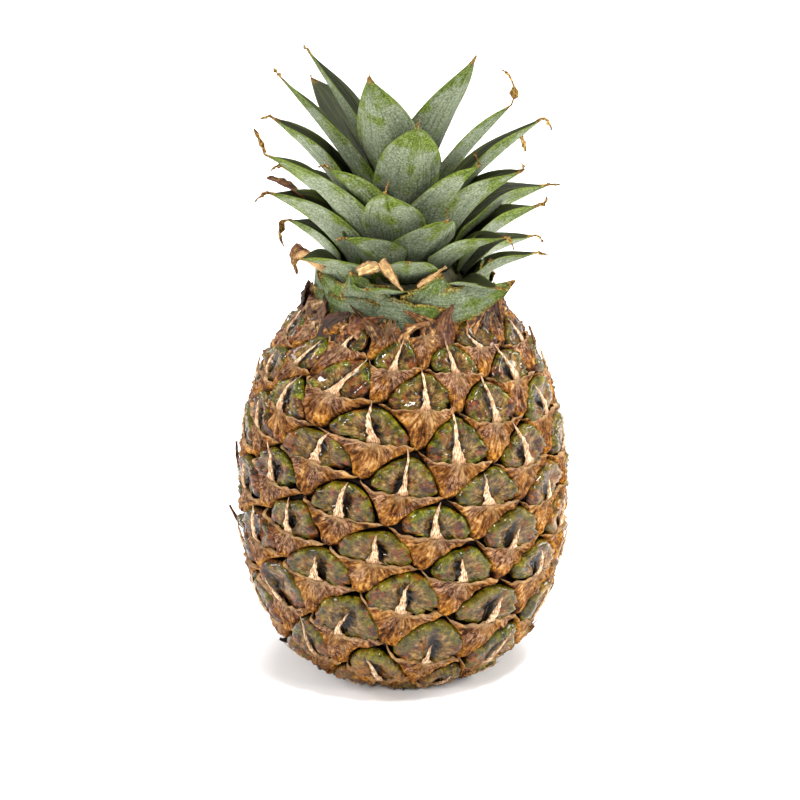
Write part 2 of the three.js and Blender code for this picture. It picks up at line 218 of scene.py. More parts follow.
# how far some eyes stand off their place on the spirals, in mm across and up
EYE_DRIFT = {
    0: (-0.8, 0.3), 8: (0, -1.1), -13: (1.6, -0.1), -26: (-1.2, -1.2), 13: (3.7, 0.3), 26: (-2.1, -3.9),
    34: (-3.9, -1.3), 18: (-4.3, -3.8), 31: (3.3, -2.2), 39: (2.8, 3.1), 5: (-0.6, 3.2), -3: (0.4, 0.6),
    21: (1.6, 1.3), 29: (-5.2, 4.3), 16: (-2.6, -1.4), 3: (-1.7, -0.7), 37: (-7, 1), 24: (-6.5, 0.7),
    11: (-4.5, 1.4), -8: (-1.6, 0.3), -16: (-1.2, -0.4), -21: (0.5, 1.1), -29: (-0.3, 2.6),
    -34: (-0.5, 0.6), -42: (-4.8, 3.5), -37: (3.2, 1.5), -5: (0, 0.1), -18: (-2, -3.6), -31: (3.6, -0.3),
    -39: (1.1, 0.8), -47: (-1.1, -0.6), 47: (3.5, 0.5), 42: (-5, 4)}
DRIFT_REACH = 9.5  # mm round an eye


def eye_turn(number, share_8, share_13):
    """The angle in degrees of a point of the spirals."""
    angle = FRONT_EYE_ANGLE + number * GOLDEN_ANGLE + share_8 * TURN_8 + share_13 * TURN_13
    part = number + 8 * share_8 + 13 * share_13
    aside = from_angle(angle, DRIFT_ANGLE)
    near = np.exp(-((aside / 22) ** 2) / 2 - ((part - DRIFT_EYE) / 8) ** 2 / 2)
    return angle + DRIFT_SHIFT * near


def skin_point(eye, x, y, out):
    """Points of the body, in metres, for points x, y across and up from an eye's foot, and out."""
    share_8 = (x * PITCH_13[1] - y * PITCH_13[0]) / cell_area
    share_13 = (PITCH_8[0] * y - PITCH_8[1] * x) / cell_area
    angle = eye_turn(eye, share_8, share_13)
    distance = np.interp(eye + 8 * share_8 + 13 * share_13, eye_steps, eye_distance)
    radius = np.interp(distance, outline_length, outline_radius)
    weight, across, up = 0.12, 0.0, 0.0
    for other, (own_across, own_up) in EYE_DRIFT.items():
        side = np.radians(from_angle(angle, eye_turn(other, 0, 0))) * radius
        rise = distance - np.interp(other, eye_steps, eye_distance)
        near = np.exp(-(side**2 + rise**2) / (2 * DRIFT_REACH**2))
        weight, across, up = weight + near, across + near * own_across, up + near * own_up
    distance = distance + up / weight
    radius = np.interp(distance, outline_length, outline_radius)
    angle = np.radians(angle) + across / weight / np.maximum(radius, 20)
    height = np.interp(distance, outline_length, outline_height)
    out = out * (1 - 0.35 * smooth(116, 134, height))  # flatter on the shoulder
    radius = radius + out * np.interp(distance, outline_length, lean_out)
    height = height + out * np.interp(distance, outline_length, lean_up)
    height = np.clip(height, 0, NECK_HEIGHT + 2)  # flat where it stands, and at the neck
    return np.stack([radius * np.sin(angle), -radius * np.cos(angle), height], -1) * MM


print("front eye at", np.round(skin_point(0, 0.0, 0.0, 0.0) / MM, 1))

# %% [markdown]
# ## One eye's outline
# Each eye is one dried flower. Its cell is a slanting four-cornered tile: the green shield fills the
# upper half and bulges over the groove, and the papery bract fills what is left below it, with two
# long arms and a tail between the shields underneath.

# %% Outlines of the shield and the bract
SHIELD_EDGE = [(-12.6, -0.2), (-13.7, 3.6), (-12.2, 6.6), (-8.9, 9.1), (-4.2, 11.2), (0.6, 12.4),
               (3.8, 12.1), (7.2, 10.4), (10.4, 7.8), (12.8, 4.7), (14.3, 0.8), (13.6, -2.2),
               (6.0, -3.4), (0.0, -3.0), (-6.0, -1.8)]
LIP = [(-17.6, 3.3), (-14.3, 2.0), (-12.2, 0.6), (-6.0, -0.2), (0.0, -1.0), (6.0, -1.6),
       (12.8, -1.6), (15.0, -2.0), (17.6, -2.9)]
LEFT_SIDE = [(-17.6, 3.3), (-14.5, 0.0), (-11.9, -2.8), (-9.5, -6.2), (-8.1, -9.8), (-7.4, -13.4)]
RIGHT_SIDE = [(17.6, -2.9), (14.1, -4.3), (9.9, -5.7), (5.4, -7.8), (2.0, -10.4), (-0.4, -13.8)]
TAIL = [(-7.4, -13.4), (-4.2, -15.0), (-0.4, -13.8)]


def along(curve, count):
    """Evenly spaced points on a smooth line through the given points."""
    curve = np.array(curve, float)
    padded = np.vstack([2 * curve[0] - curve[1], curve, 2 * curve[-1] - curve[-2]])
    fine = []
    for p0, p1, p2, p3 in zip(padded, padded[1:], padded[2:], padded[3:]):
        for t in np.linspace(0, 1, 12, endpoint=False):
            fine.append(0.5 * (2 * p1 + (p2 - p0) * t + (2 * p0 - 5 * p1 + 4 * p2 - p3) * t**2
                               + (3 * p1 - p0 - 3 * p2 + p3) * t**3))
    fine = np.array(fine + [curve[-1]])
    run = np.r_[0, np.cumsum(np.hypot(*np.diff(fine, axis=0).T))]
    at = np.linspace(0, run[-1], count)
    return np.stack([np.interp(at, run, fine[:, 0]), np.interp(at, run, fine[:, 1])], -1)


print("shield", SHIELD_EDGE[0], "to", SHIELD_EDGE[10], "mm")

# %% [markdown]
# ## The shield
# The shield is the hardened outside of the flower: three fused leaves with a swollen, shiny rim and a
# wrinkled middle that sinks towards the spike. A filled circle gets rings by insetting it. The rings
# are then drawn in from the outline towards a point above the spike's foot and raised, so they follow
# the outline as the real ridges do. The rim's points are pushed in and out into warts, and each eye
# has its own lobes, size and turn.

# %% Model the shield
RIM_POINTS, CIRCLE_RADIUS, RING_STEP = 48, 10, 0.9
SHIELD_CENTRE = np.array([0.6, 4.2])
# how far out from the centre each ring lies, as a share, and its height in mm
SHIELD_RINGS = [(0.95, -3.4), (1.0, -1.6), (0.985, 0.1), (0.94, 1.4), (0.86, 2.3), (0.76, 2.6),
                (0.64, 2.4), (0.5, 1.8), (0.35, 1.1), (0.18, 0.6)]


def model_shield():
    bpy.ops.object.select_all(action="DESELECT")
    bpy.ops.mesh.primitive_circle_add(vertices=RIM_POINTS, radius=CIRCLE_RADIUS, fill_type="NGON")
    shield = bpy.context.object
    bpy.ops.object.mode_set(mode="EDIT")
    bpy.ops.mesh.select_all(action="SELECT")
    for _ in SHIELD_RINGS[1:]:
        bpy.ops.mesh.inset(thickness=RING_STEP)
    bpy.ops.mesh.poke()
    face_outward(shield)
    return shield


shield = model_shield()
x, y, _ = points_of(shield).T
shield_ring = np.round((CIRCLE_RADIUS - np.hypot(x, y)) / RING_STEP)
shield_ring = np.clip(shield_ring, 0, len(SHIELD_RINGS)).astype(int)
shield_spoke = np.round(np.arctan2(y, x) / (2 * math.pi) * RIM_POINTS).astype(int) % RIM_POINTS
shield_edge = along(SHIELD_EDGE + SHIELD_EDGE[:1], RIM_POINTS + 1)[:-1][::-1]
SHIELD_SIZES = {39: 0.8, 44: 0.9}  # eyes whose shields stayed small
print("shield:", triangles(shield), "triangles")

# %% Which way the spikes point
# where the spikes' tips stand from their feet, in mm across and up, on the eyes that face the front
SPIKE_TIPS = {
    26: (5.2, 13.3), 34: (3.3, 11.5), 13: (3, 14), 18: (2.9, 13), 31: (5.6, 11), 39: (2, 5), 5: (9, 12),
    -3: (0, 15), 0: (-0.5, 14.8), 21: (2.1, 14.6), 29: (-1.4, 14.5), 16: (-1.8, 15), 8: (-1.2, 16),
    3: (-7, 14.8), 24: (-5.5, 16), 37: (-7, 6), 11: (-6, 12), -8: (1, 12.5), -16: (0.3, 12.7),
    -21: (1, 11.5), -29: (1.5, 10), -34: (0.8, 9.5), -42: (3.3, 8), -37: (-8, 5), -24: (0, 15),
    -5: (-3.2, 11.5), -10: (-4, 9), -13: (0.5, 14), -18: (1, 7), -26: (-2.8, 8.6), -31: (0, 10),
    -39: (2.8, 8.7), -47: (0, 6.4)}


def usual_spike(eye):
    return spread(eye, 2, 2.5), 11.5 + spread(eye, 3, 3.5)


print(len(SPIKE_TIPS), "spikes have their own direction")

# %% Shape one eye's shield
def shape_shield(eye):
    """One eye's shield, flat, in mm, and numbers for its material."""
    ring, spoke = shield_ring, shield_spoke
    share, height = np.array(SHIELD_RINGS + [(0.0, 0.5)]).T
    waves = 0
    for i in (2, 3, 5):
        phase = i * spoke / RIM_POINTS * 2 * math.pi + 9 * chance(eye, 50 + i)
        waves = waves + spread(eye, 40 + i, 0.55) * np.sin(phase)
    edge = shield_edge[spoke] * (1 + waves[:, None] * 0.06)
    bumps = spread(spoke + 60 * eye, 5, 1) * smooth(1, 3, ring) * smooth(7, 4, ring)
    creases = (spoke % 2) * smooth(1, 3, ring) * smooth(9, 6, ring)
    x, y = (SHIELD_CENTRE + (edge - SHIELD_CENTRE) * (share[ring] + 0.02 * bumps)[:, None]).T
    rise = smooth(-2, 1, height[ring])
    across, up = SPIKE_TIPS.get(eye, usual_spike(eye))
    gully_at = across * np.clip(y / up, 0, 1) + spread(eye, 61, 1.2)
    gully = hump((x, gully_at, 1.5)) * smooth(13, 5.0, y)
    slit_at = gully_at + (1.9 if chance(eye, 60) > 0.4 else -1.9)
    slit = hump((x, slit_at, 0.7)) * smooth(9, 4.0, y) * smooth(-2, 1, y)
    z = height[ring] + 0.6 * bumps - 0.55 * creases * rise
    z += rise * (0.5 * smooth(3, 11, y) - 1.0 * gully - 1.4 * slit - 1.5 * smooth(2.0, -1.4, y))
    lobe = np.sin(0.5 * x + 6 * chance(eye, 62)) * np.cos(0.6 * y + 6 * chance(eye, 63))
    z += rise * 0.6 * lobe
    size = SHIELD_SIZES.get(eye, 1 + spread(eye, 64, 0.05))
    turn = math.radians(spread(eye, 65, 7))
    turned_x = x * math.cos(turn) - y * math.sin(turn)
    turned_y = x * math.sin(turn) + y * math.cos(turn)
    # the material darkens the skin where gully is high: painted shade in the slits beside the spike
    numbers = {"rim": share[ring], "gully": np.maximum(gully, slit), "height": z}
    return turned_x * size, turned_y * size, z, numbers


print("front shield", round(np.ptp(shape_shield(0)[0]), 1), "mm wide")


# %% [markdown]
# ## The bract
# Under each shield lies a leaf-like bract, dried to brown paper. It is pulled tight between the
# shields, so ribs run out from the foot of the spike to its arms and its tail, and its upper edge
# stands off the shield as a thin lip. A grid is stretched between the four edges and folded in code.

# %% Model the bract
BRACT_ACROSS, BRACT_DOWN = 30, 14
RIB_ANGLES = (172, 208, 250, 292, 352)  # round the foot of the spike, in degrees


def model_bract():
    bpy.ops.object.select_all(action="DESELECT")
    bpy.ops.mesh.primitive_grid_add(x_subdivisions=BRACT_ACROSS, y_subdivisions=BRACT_DOWN, size=2)
    bract = bpy.context.object
    bpy.ops.object.mode_set(mode="EDIT")
    bpy.ops.mesh.select_mode(type="EDGE")
    bpy.ops.mesh.select_all(action="DESELECT")
    bpy.ops.mesh.select_non_manifold()
    bpy.ops.mesh.extrude_region_move(TRANSFORM_OT_translate={"value": (0, 0, -1)})
    face_outward(bract)
    return bract


bract = model_bract()
grid = points_of(bract)
bract_u, bract_v = (grid[:, 0] + 1) / 2, (1 - grid[:, 1]) / 2  # v is 0 at the lip
bract_hem = grid[:, 2] < -0.5  # the rim that hangs into the groove
print("bract:", triangles(bract), "triangles")

# %% Shape one eye's bract
def pick(line, share):
    """Points of a line, at these shares of its length."""
    at = np.linspace(0, 1, len(line))
    return np.stack([np.interp(share, at, line[:, 0]), np.interp(share, at, line[:, 1])], -1)


def shape_bract(eye):
    """One eye's bract, flat, in mm, and numbers for its material."""
    u, v = bract_u, bract_v
    lip, tail = along(LIP, 100), along(TAIL, 100)
    left, right = along(LEFT_SIDE, 100), along(RIGHT_SIDE, 100)
    u1, v1 = u[:, None], v[:, None]
    flat = ((1 - v1) * pick(lip, u) + v1 * pick(tail, u) + (1 - u1) * pick(left, v) + u1 * pick(right, v)
            - (1 - v1) * ((1 - u1) * lip[0] + u1 * lip[-1]) - v1 * ((1 - u1) * tail[0] + u1 * tail[-1]))
    x, y = flat.T
    reach = np.hypot(x, y + 1)
    angle = np.degrees(np.arctan2(y + 1, x)) % 360
    width = np.linalg.norm(pick(right, v) - pick(left, v), axis=1)
    edge = np.minimum(np.minimum(u, 1 - u) * width, (1 - v) * 12)  # mm from the sides and the tail
    tuck = smooth(-0.6, 2.0, edge)
    high = smooth(40, 46, eye)  # under the crown they stand taller and dry out
    z = -2.6 + 3.5 * tuck - 0.02 * reach**1.2
    star = np.zeros(len(x))
    for i, rib in enumerate(RIB_ANGLES):
        aside = from_angle(angle, rib + spread(eye, 70 + i, 14))
        crest = np.exp(-np.abs(aside) / 10)
        z += (1.3 + 0.9 * chance(eye, 80 + i)) * crest * smooth(0.5, 4, reach) * tuck
        line = np.exp(-np.abs(aside) / 6)
        star = np.maximum(star, line * smooth(5 + 7 * chance(eye, 75 + i), 1, reach))
    for waves, deep in ((9, 0.24), (17, 0.13), (29, 0.08)):
        fold = np.sin(np.radians(angle) * waves + 9 * chance(eye, 66 + waves) + 0.25 * reach)
        z += deep * fold * smooth(1, 4, reach) * tuck
    z += 0.4 * np.sin(0.9 * x + 9 * chance(eye, 66)) * np.cos(0.8 * y + 9 * chance(eye, 67)) * tuck
    curl = np.clip(0.5 + 0.7 * np.sin(0.35 * x + 9 * chance(eye, 68)) * chance(eye, 59), 0, 1)
    lip_edge = smooth(0.12, 0.0, v) * smooth(0, 0.08, u) * smooth(1, 0.92, u)
    z += (0.1 + 0.9 * curl + 1.5 * high * chance(eye, 57)) * lip_edge
    z += 0.9 * hump((x, 0.2, 2.2), (y, -0.4, 2.6))  # the foot of the spike
    z -= 1.6 * bract_hem
    ragged = 0.3 * np.sin(1.1 * x + 9 * chance(eye, 69)) - 0.3 * curl
    ragged = ragged + high * (5.5 + 2.5 * np.sin(1.3 * x + 9 * chance(eye, 56))) * hump((x, 0, 8))
    y = y + ragged * smooth(0.25, 0, v)
    pale = np.maximum((0.35 + 0.6 * curl) * smooth(0.07, 0.0, v), hump((x, 0, 2.2), (y, -0.6, 2.4)))
    pale = np.maximum(pale, 0.9 * star)
    # the height also feeds painted shade: the material darkens the low parts towards the groove
    return x, y, z, {"lip": pale, "edge": edge, "height": z}


print("front bract", round(np.ptp(shape_bract(0)[0]), 1), "mm wide")


# %% [markdown]
# ## The spike
# The bract's tip dries to a stiff cream spike that lies over the shield and stands off it a little.
# A cone is cut into short lengths, and each copy is drawn out to its own tip, with a broad foot that
# runs into the lip, a ridge along its middle and a ragged edge.

# %% Model the spike
SPIKE_CUTS = 13


def model_spike():
    bpy.ops.object.select_all(action="DESELECT")
    bpy.ops.mesh.primitive_cone_add(vertices=6, radius1=1, radius2=0.3, depth=1)
    spike = bpy.context.object
    bpy.ops.object.mode_set(mode="EDIT")
    for cut in range(1, SPIKE_CUTS):
        bpy.ops.mesh.select_all(action="SELECT")
        bpy.ops.mesh.bisect(plane_co=(0, 0, cut / SPIKE_CUTS - 0.5), plane_no=(0, 0, 1))
    face_outward(spike)
    return spike


spike = model_spike()
x, y, z = points_of(spike).T
spike_along = z + 0.5
spike_step = np.round(spike_along * SPIKE_CUTS)
spike_around = np.round(np.degrees(np.arctan2(x, y)) / 60)
print("spike:", triangles(spike), "triangles")

# %% Shape one eye's spike
def shape_spike(eye):
    """One eye's spike, flat, in mm, and numbers for its material."""
    t, around = spike_along, spike_around
    across, up = SPIKE_TIPS.get(eye, usual_spike(eye))
    half = np.interp(t, [0, 0.1, 0.2, 0.35, 0.6, 0.85, 1], [3.6, 2.7, 1.8, 1.2, 0.8, 0.45, 0.05])
    ragged = spread(spike_step + 20 * around, eye, 0.42) * smooth(1, 0.9, t)
    half = half * (0.8 + 0.4 * chance(eye, 90)) * (1 + ragged)
    thick = np.interp(t, [0, 0.1, 0.25, 0.6, 1], [0.15, 0.5, 0.75, 0.5, 0.08])
    bow = spread(eye, 91, 1.2) * np.sin(math.pi * t) + 0.35 * np.sin(9 * t + eye) * t
    spin = np.radians(60 * around)
    x = np.sin(spin) * half + across * t**1.15 + bow
    y = -2.0 + (up + 2.0) * t + spread(spike_step + 20 * around, eye + 3, 0.3)
    stand = 0.2 + 1.6 * max(0, chance(eye, 92) - 0.35)
    z = np.interp(t, [0, 0.15, 0.4, 0.7, 1], [1.0, 1.9, 2.5, 2.9, 2.9]) + stand * t**3
    z = z + np.cos(spin) * thick + spread(spike_step, eye + 7, 0.2)
    return x, y, z, {"along": t}


print("front spike", round(np.ptp(shape_spike(0)[1]), 1), "mm long")


# %% [markdown]
# ## Laying the eyes on the skin
# Every flat piece keeps its own coordinates as a UV map, so its colours can follow the eye, and a few
# numbers for each point: which eye it is, how golden the rind is there and how weathered.

# %% Lay copies on the skin
LIP_RISE = 2.2  # the lip lies above the middle of the solid's cell
MAP_WIDTH = 40  # mm of the flat eye that its UV map covers


def ripeness(points):
    """Golden patches: low on the left, and down the right side."""
    x, y, z = (points / MM).T
    angle = np.degrees(np.arctan2(x, -y))
    low_left = hump((angle, -22, 24), (z, 8, 12))
    right = hump((angle, 76, 16), (z, 55, 34))
    low_right = 0.5 * hump((angle, 25, 20), (z, 8, 10))
    behind = 0.6 * hump((np.abs(angle), 150, 30), (z, 40, 25))
    return np.clip(low_left + right + low_right + behind, 0, 1)


def weathering(points):
    """Browner skin on the left and under the crown."""
    x, y, z = (points / MM).T
    angle = np.degrees(np.arctan2(x, -y))
    left = smooth(-5, -60, angle) * smooth(150, 70, z)
    return np.clip(0.75 * left + 0.5 * smooth(118, 140, z), 0, 1)


def lay_copies(name, template, shape, eyes):
    """Copies a flat piece to every eye, shapes it there, and joins the copies."""
    copies = []
    loops = np.zeros(len(template.data.loops), int)
    template.data.loops.foreach_get("vertex_index", loops)
    for eye in eyes:
        copy = template.copy()
        copy.data = template.data.copy()
        bpy.context.scene.collection.objects.link(copy)
        x, y, z, numbers = shape(eye)
        layer = copy.data.uv_layers.active or copy.data.uv_layers.new(name="eye")
        layer.name = "eye"
        layer.data.foreach_set("uv", (np.stack([x, y], -1)[loops] / MAP_WIDTH + 0.5).ravel())
        placed = skin_point(eye, x, y + LIP_RISE, z)
        set_points(copy, placed)
        mark(copy, **numbers, chance=chance(eye, 17), ripe=ripeness(placed), weathered=weathering(placed))
        copies.append(copy)
    piece = join(name, copies)
    bpy.data.objects.remove(template)
    print(name, len(copies), "copies,", triangles(piece), "triangles")
    return piece


print("each map covers", MAP_WIDTH, "mm")

# %% The rind's three pieces
NO_SHIELD = (42, 47)  # dried up under the crown
eyes = [eye for eye in range(LOWEST_EYE, HIGHEST_SHIELD + 1) if eye not in NO_SHIELD]
shield_piece = lay_copies("fruitlet_shields", shield, shape_shield, eyes)
bract_piece = lay_copies("dry_bracts", bract, shape_bract, range(LOWEST_EYE, HIGHEST_EYE + 1))
spike_piece = lay_copies("bract_spikes", spike, shape_spike, eyes)

# %% [markdown]
# ## The body under the eyes
# The grooves end on a skin painted near black, as painted shade for their depth. It is turned from the
# body's outline, set in by the grooves' depth.

# %% Turn the groove skin
INSET = 3.0  # mm
SPIN_STEPS, OUTLINE_STEP = 96, 6
ring_r = outline_radius - INSET * lean_out
ring_z = outline_height - INSET * lean_up
inside = (ring_z > 1.0) & (ring_z < NECK_HEIGHT - 1)
ring_r, ring_z = ring_r[inside][::OUTLINE_STEP], ring_z[inside][::OUTLINE_STEP]
path = [(0, 0, 1.0)] + [(r, 0, z) for r, z in zip(ring_r, ring_z)] + [(0, 0, NECK_HEIGHT - 1)]
mesh = bpy.data.meshes.new("groove_skin")
mesh.from_pydata([Vector(p) * MM for p in path], [(i, i + 1) for i in range(len(path) - 1)], [])
groove_skin = bpy.data.objects.new("groove_skin", mesh)
bpy.context.scene.collection.objects.link(groove_skin)
active(groove_skin)
bpy.ops.object.mode_set(mode="EDIT")
bpy.ops.mesh.select_all(action="SELECT")
bpy.ops.mesh.spin(steps=SPIN_STEPS, angle=2 * math.pi, center=(0, 0, 0), axis=(0, 0, 1))
bpy.ops.mesh.select_all(action="SELECT")
bpy.ops.mesh.remove_doubles(threshold=0.01 * MM)
face_outward(groove_skin)
bpy.ops.object.shade_smooth()
print("groove skin", triangles(groove_skin), "triangles")

# %% [markdown]
# ## Materials
# One function turns the colours that a person would pick, in sRGB hex, to the linear values that
# Blender mixes. `add` makes a node with its settings and links in the newest material, and the short
# functions after it stand for the nodes that are used most.

# %% Colour and node helpers
materials = []


def linear(hex_colour):
    values = [int(hex_colour[i:i + 2], 16) / 255 for i in (1, 3, 5)]
    return tuple(v / 12.92 if v <= 0.04045 else ((v + 0.055) / 1.055) ** 2.4 for v in values) + (1,)


def new_material(name):
    material = bpy.data.materials.new(name)
    material.use_nodes = True
    material.node_tree.nodes.clear()
    materials.append(material)
    return material


def add(kind, inputs=(), **settings):
    """Adds a node. Inputs are (socket, value or another node's output)."""
    tree = materials[-1].node_tree
    made = tree.nodes.new("ShaderNode" + kind)
    for name, value in settings.items():
        setattr(made, name, value)
    for socket, value in inputs:
        if isinstance(value, bpy.types.NodeSocket):
            tree.links.new(value, made.inputs[socket])
        else:
            made.inputs[socket].default_value = value
    if not made.outputs:
        return None
    return made.outputs[2 if kind == "Mix" and made.data_type == "RGBA" else 0]


def maths(operation, *values):
    return add("Math", list(enumerate(values)), operation=operation)


def times(first, second):
    return maths("MULTIPLY", first, second)


def plus(first, second):
    return maths("ADD", first, second)


def weighted(first, *others):
    """The sum of values, each given with its weight."""
    total = times(*first)
    for value, weight in others:
        total = plus(total, times(value, weight))
    return total


def between(value, low, high, to_low=0.0, to_high=1.0):
    return add("MapRange", [(0, value), (1, low), (2, high), (3, to_low), (4, to_high)],
               interpolation_type="SMOOTHSTEP")


def ramp(factor, stops):
    made = add("ValToRGB", [(0, factor)]).node
    elements = made.color_ramp.elements
    for element, (place, colour) in zip(elements, stops):
        element.position, element.color = place, linear(colour)
    for place, colour in stops[2:]:
        elements.new(place).color = linear(colour)
    return made.outputs[0]


def blend(factor, first, second):
    first, second = (linear(c) if isinstance(c, str) else c for c in (first, second))
    return add("Mix", [(0, factor), (6, first), (7, second)], data_type="RGBA")


def layers(colour, *others):
    """Lays colours over the first one, each as far as its factor says."""
    for factor, other in others:
        colour = blend(factor, colour, other)
    return colour


def finish_material(colour, roughness, bump_height, bump_mm, contrast=1.5, sockets=()):
    bump = add("Bump", [("Height", bump_height), ("Distance", bump_mm * MM), ("Strength", 1.0)])
    colour = add("Gamma", [(0, colour), (1, contrast)])
    inputs = [("Base Color", colour), ("Roughness", roughness), ("Normal", bump)]
    shader = add("BsdfPrincipled", inputs + list(sockets))
    add("OutputMaterial", [("Surface", shader)])


print("node helpers ready")

# %% Places and noise for the materials
def attribute(name):
    return add("Attribute", attribute_name=name).node.outputs["Fac"]


def noise(place, scale, detail, roughness=0.5):
    return add("TexNoise", [("Vector", place), ("Scale", scale), ("Detail", detail),
                            ("Roughness", roughness)])


def object_noise(size_mm, detail=3.0, roughness=0.5):
    return noise(add("TexCoord").node.outputs["Object"], 1000 / size_mm, detail, roughness)


def eye_coordinates():
    """The flat eye's own millimetres, its distance from the spike's foot, and its angle round it."""
    uv = add("UVMap", uv_map="eye")
    flat = add("Mapping", [(0, uv), ("Location", (-MAP_WIDTH / 2, -MAP_WIDTH / 2, 0)),
                           ("Scale", (MAP_WIDTH, MAP_WIDTH, 1))])
    centred = add("VectorMath", [(0, flat), (1, (0.5, 1.0, 0))], operation="SUBTRACT")
    reach = add("VectorMath", [(0, centred)], operation="LENGTH").node.outputs["Value"]
    angle = add("TexGradient", [(0, centred)], gradient_type="RADIAL").node.outputs["Fac"]
    return flat, reach, angle


def streaks(angle, reach, count, along_mm):
    """Lines that run out from the spike's foot, from noise in angle and distance."""
    turned, out = times(angle, float(count)), times(reach, 1.0 / along_mm)
    place = add("CombineXYZ", [(0, turned), (1, out), (2, times(attribute("chance"), 40.0))])
    return noise(place, 1.0, 3.0)


def spot(flat, centre, radius):
    away = add("VectorMath", [(0, flat), (1, (*centre, 0))], operation="SUBTRACT")
    length = add("VectorMath", [(0, away)], operation="LENGTH").node.outputs["Value"]
    return between(length, radius, radius * 0.25)


print("places ready")

# %% [markdown]
# ### The fruitlet skin
# Living, waxy plant skin over a hard blister: the rim is olive to dark green and shiny, and knobbly
# enough to catch small sharp glints. The sunken middle is dull and brown, felted with fine pale
# fibres, with brown scald at the lower corners and golden skin where the fruit ripens first.

# %% Waxy fruitlet skin
skin = new_material("waxy_fruitlet_skin")
flat, reach, angle = eye_coordinates()
patch = object_noise(7, 4, 0.6)
fleck = object_noise(2.2, 4, 0.6)
fine = object_noise(0.9, 2)
lines = streaks(angle, reach, 42, 5)
hairs = streaks(angle, reach, 110, 3)
rim = attribute("rim")

mottle = weighted((patch, 0.4), (fleck, 0.42), (lines, 0.18))
green = ramp(mottle, [(0.41, "#4a4c0a"), (0.5, "#787a18"), (0.59, "#a8a43c")])
green = blend(times(attribute("chance"), 0.45), green, "#7c5e20")
dull = ramp(weighted((hairs, 0.42), (fleck, 0.58)), [(0.4, "#5f4a2c"), (0.5, "#92744c"), (0.6, "#c2a67c")])
basin = plus(between(rim, 0.9, 0.45), times(between(patch, 0.35, 0.65), 0.35))
scald = maths("MAXIMUM", spot(flat, (-11, 3), 6), spot(flat, (11.5, 1), 6))
scald = plus(scald, times(attribute("weathered"), 1.5))
scald = between(plus(patch, times(scald, 0.11)), 0.6, 0.68)
brown = ramp(fleck, [(0.4, "#421e0d"), (0.5, "#723c20"), (0.6, "#9b6645")])
ember = between(object_noise(4.0, 3), 0.57, 0.66)
golden = times(attribute("ripe"), between(patch, 0.3, 0.55))
gold = ramp(fleck, [(0.4, "#8d5712"), (0.6, "#c4932f")])
# painted shade: dark brown where the relief's noises are lowest, in the hollows of the bump
furrow = maths("MAXIMUM", between(lines, 0.42, 0.32), between(fleck, 0.4, 0.32))
# painted shade: the lower the skin lies, the nearer to black, down the wall into the groove
deep = between(attribute("height"), 0.9, -0.7)
# painted shade: the gully number darkens the slits beside the spike to dark brown
coloured = layers(
    green, (between(basin, 0.5, 1.1, 0, 0.78), dull), (times(scald, 0.8), brown),
    (times(ember, 0.6), "#9a5a1e"), (times(golden, 0.9), gold), (times(furrow, 0.35), "#2c2008"),
    (times(attribute("gully"), 0.8), "#241408"), (deep, "#180c05"))

shine = between(rim, 0.55, 0.8)
rough = plus(between(shine, 0.0, 1.0, 0.45, 0.18), times(scald, 0.12))
relief = weighted((lines, 0.4), (hairs, 0.3), (fine, 0.4), (fleck, 1.1))
finish_material(coloured, rough, relief, 1.6,
                sockets=[("Coat Weight", 0.45), ("Coat Roughness", 0.05), ("IOR", 1.2)])
print("made", skin.name)

# %% [markdown]
# ### The dry bract
# Dead leaf tissue dried to brown paper, with no shine: tan to umber, greyed in the middle and stained
# golden towards its sides, in fibres that run out from the spike's foot. It is cracked and crumpled
# at 1 to 3 mm and paler on the ribs and the lip. Painted shade darkens its cracks, and darkens it
# nearly to black where it goes down into the groove.

# %% Dry bract paper
paper = new_material("dry_bract_paper")
flat, reach, angle = eye_coordinates()
fibres = streaks(angle, reach, 60, 4)
hairs = streaks(angle, reach, 130, 3)
blotch = object_noise(6, 4, 0.6)
fleck = object_noise(1.4, 4, 0.65)
edge, ripe = attribute("edge"), attribute("ripe")

weave = weighted((fleck, 0.25), (blotch, 0.4), (fibres, 0.35))
tan = ramp(weave, [(0.41, "#4e3217"), (0.47, "#8b5f33"), (0.53, "#b58953"), (0.6, "#e2bf90")])
grey = plus(object_noise(8, 3), times(attribute("weathered"), 0.12))
grey = times(between(grey, 0.46, 0.6), between(edge, 1, 4))
ash = ramp(weighted((hairs, 0.5), (fleck, 0.5)), [(0.42, "#543a30"), (0.5, "#927060"), (0.58, "#d2b29c")])
stain = times(between(plus(blotch, times(ripe, 0.3)), 0.45, 0.6), between(edge, 6, 1))
gold = ramp(fleck, [(0.38, "#76490f"), (0.5, "#b37c22"), (0.62, "#e2b04a")])
golden = times(ripe, between(blotch, 0.3, 0.55))
# painted shade: dark brown where the hairs noise of the relief is lowest, along its cracks
crack = between(hairs, 0.42, 0.33)
# painted shade: nearly black as the paper goes down into the groove
deep = between(attribute("height"), 0.2, -1.6)
tan = layers(
    tan, (times(grey, 0.7), ash), (times(stain, 0.75), gold), (times(golden, 0.8), gold),
    (times(crack, 0.35), "#341c0a"), (deep, "#281406"), (times(attribute("lip"), 0.75), "#e0c49e"))
relief = weighted((fibres, 1.0), (hairs, 0.5), (fleck, 0.7))
finish_material(tan, 0.65, relief, 2.0, contrast=1.42, sockets=[("IOR", 1.2)])

# %% [markdown]
# ### The spikes and the grooves
# The spikes are bleached straw, ridged lengthwise, browner at foot and tip. The skin at the bottom of
# the grooves is dull and mottled, painted nearly black as painted shade.

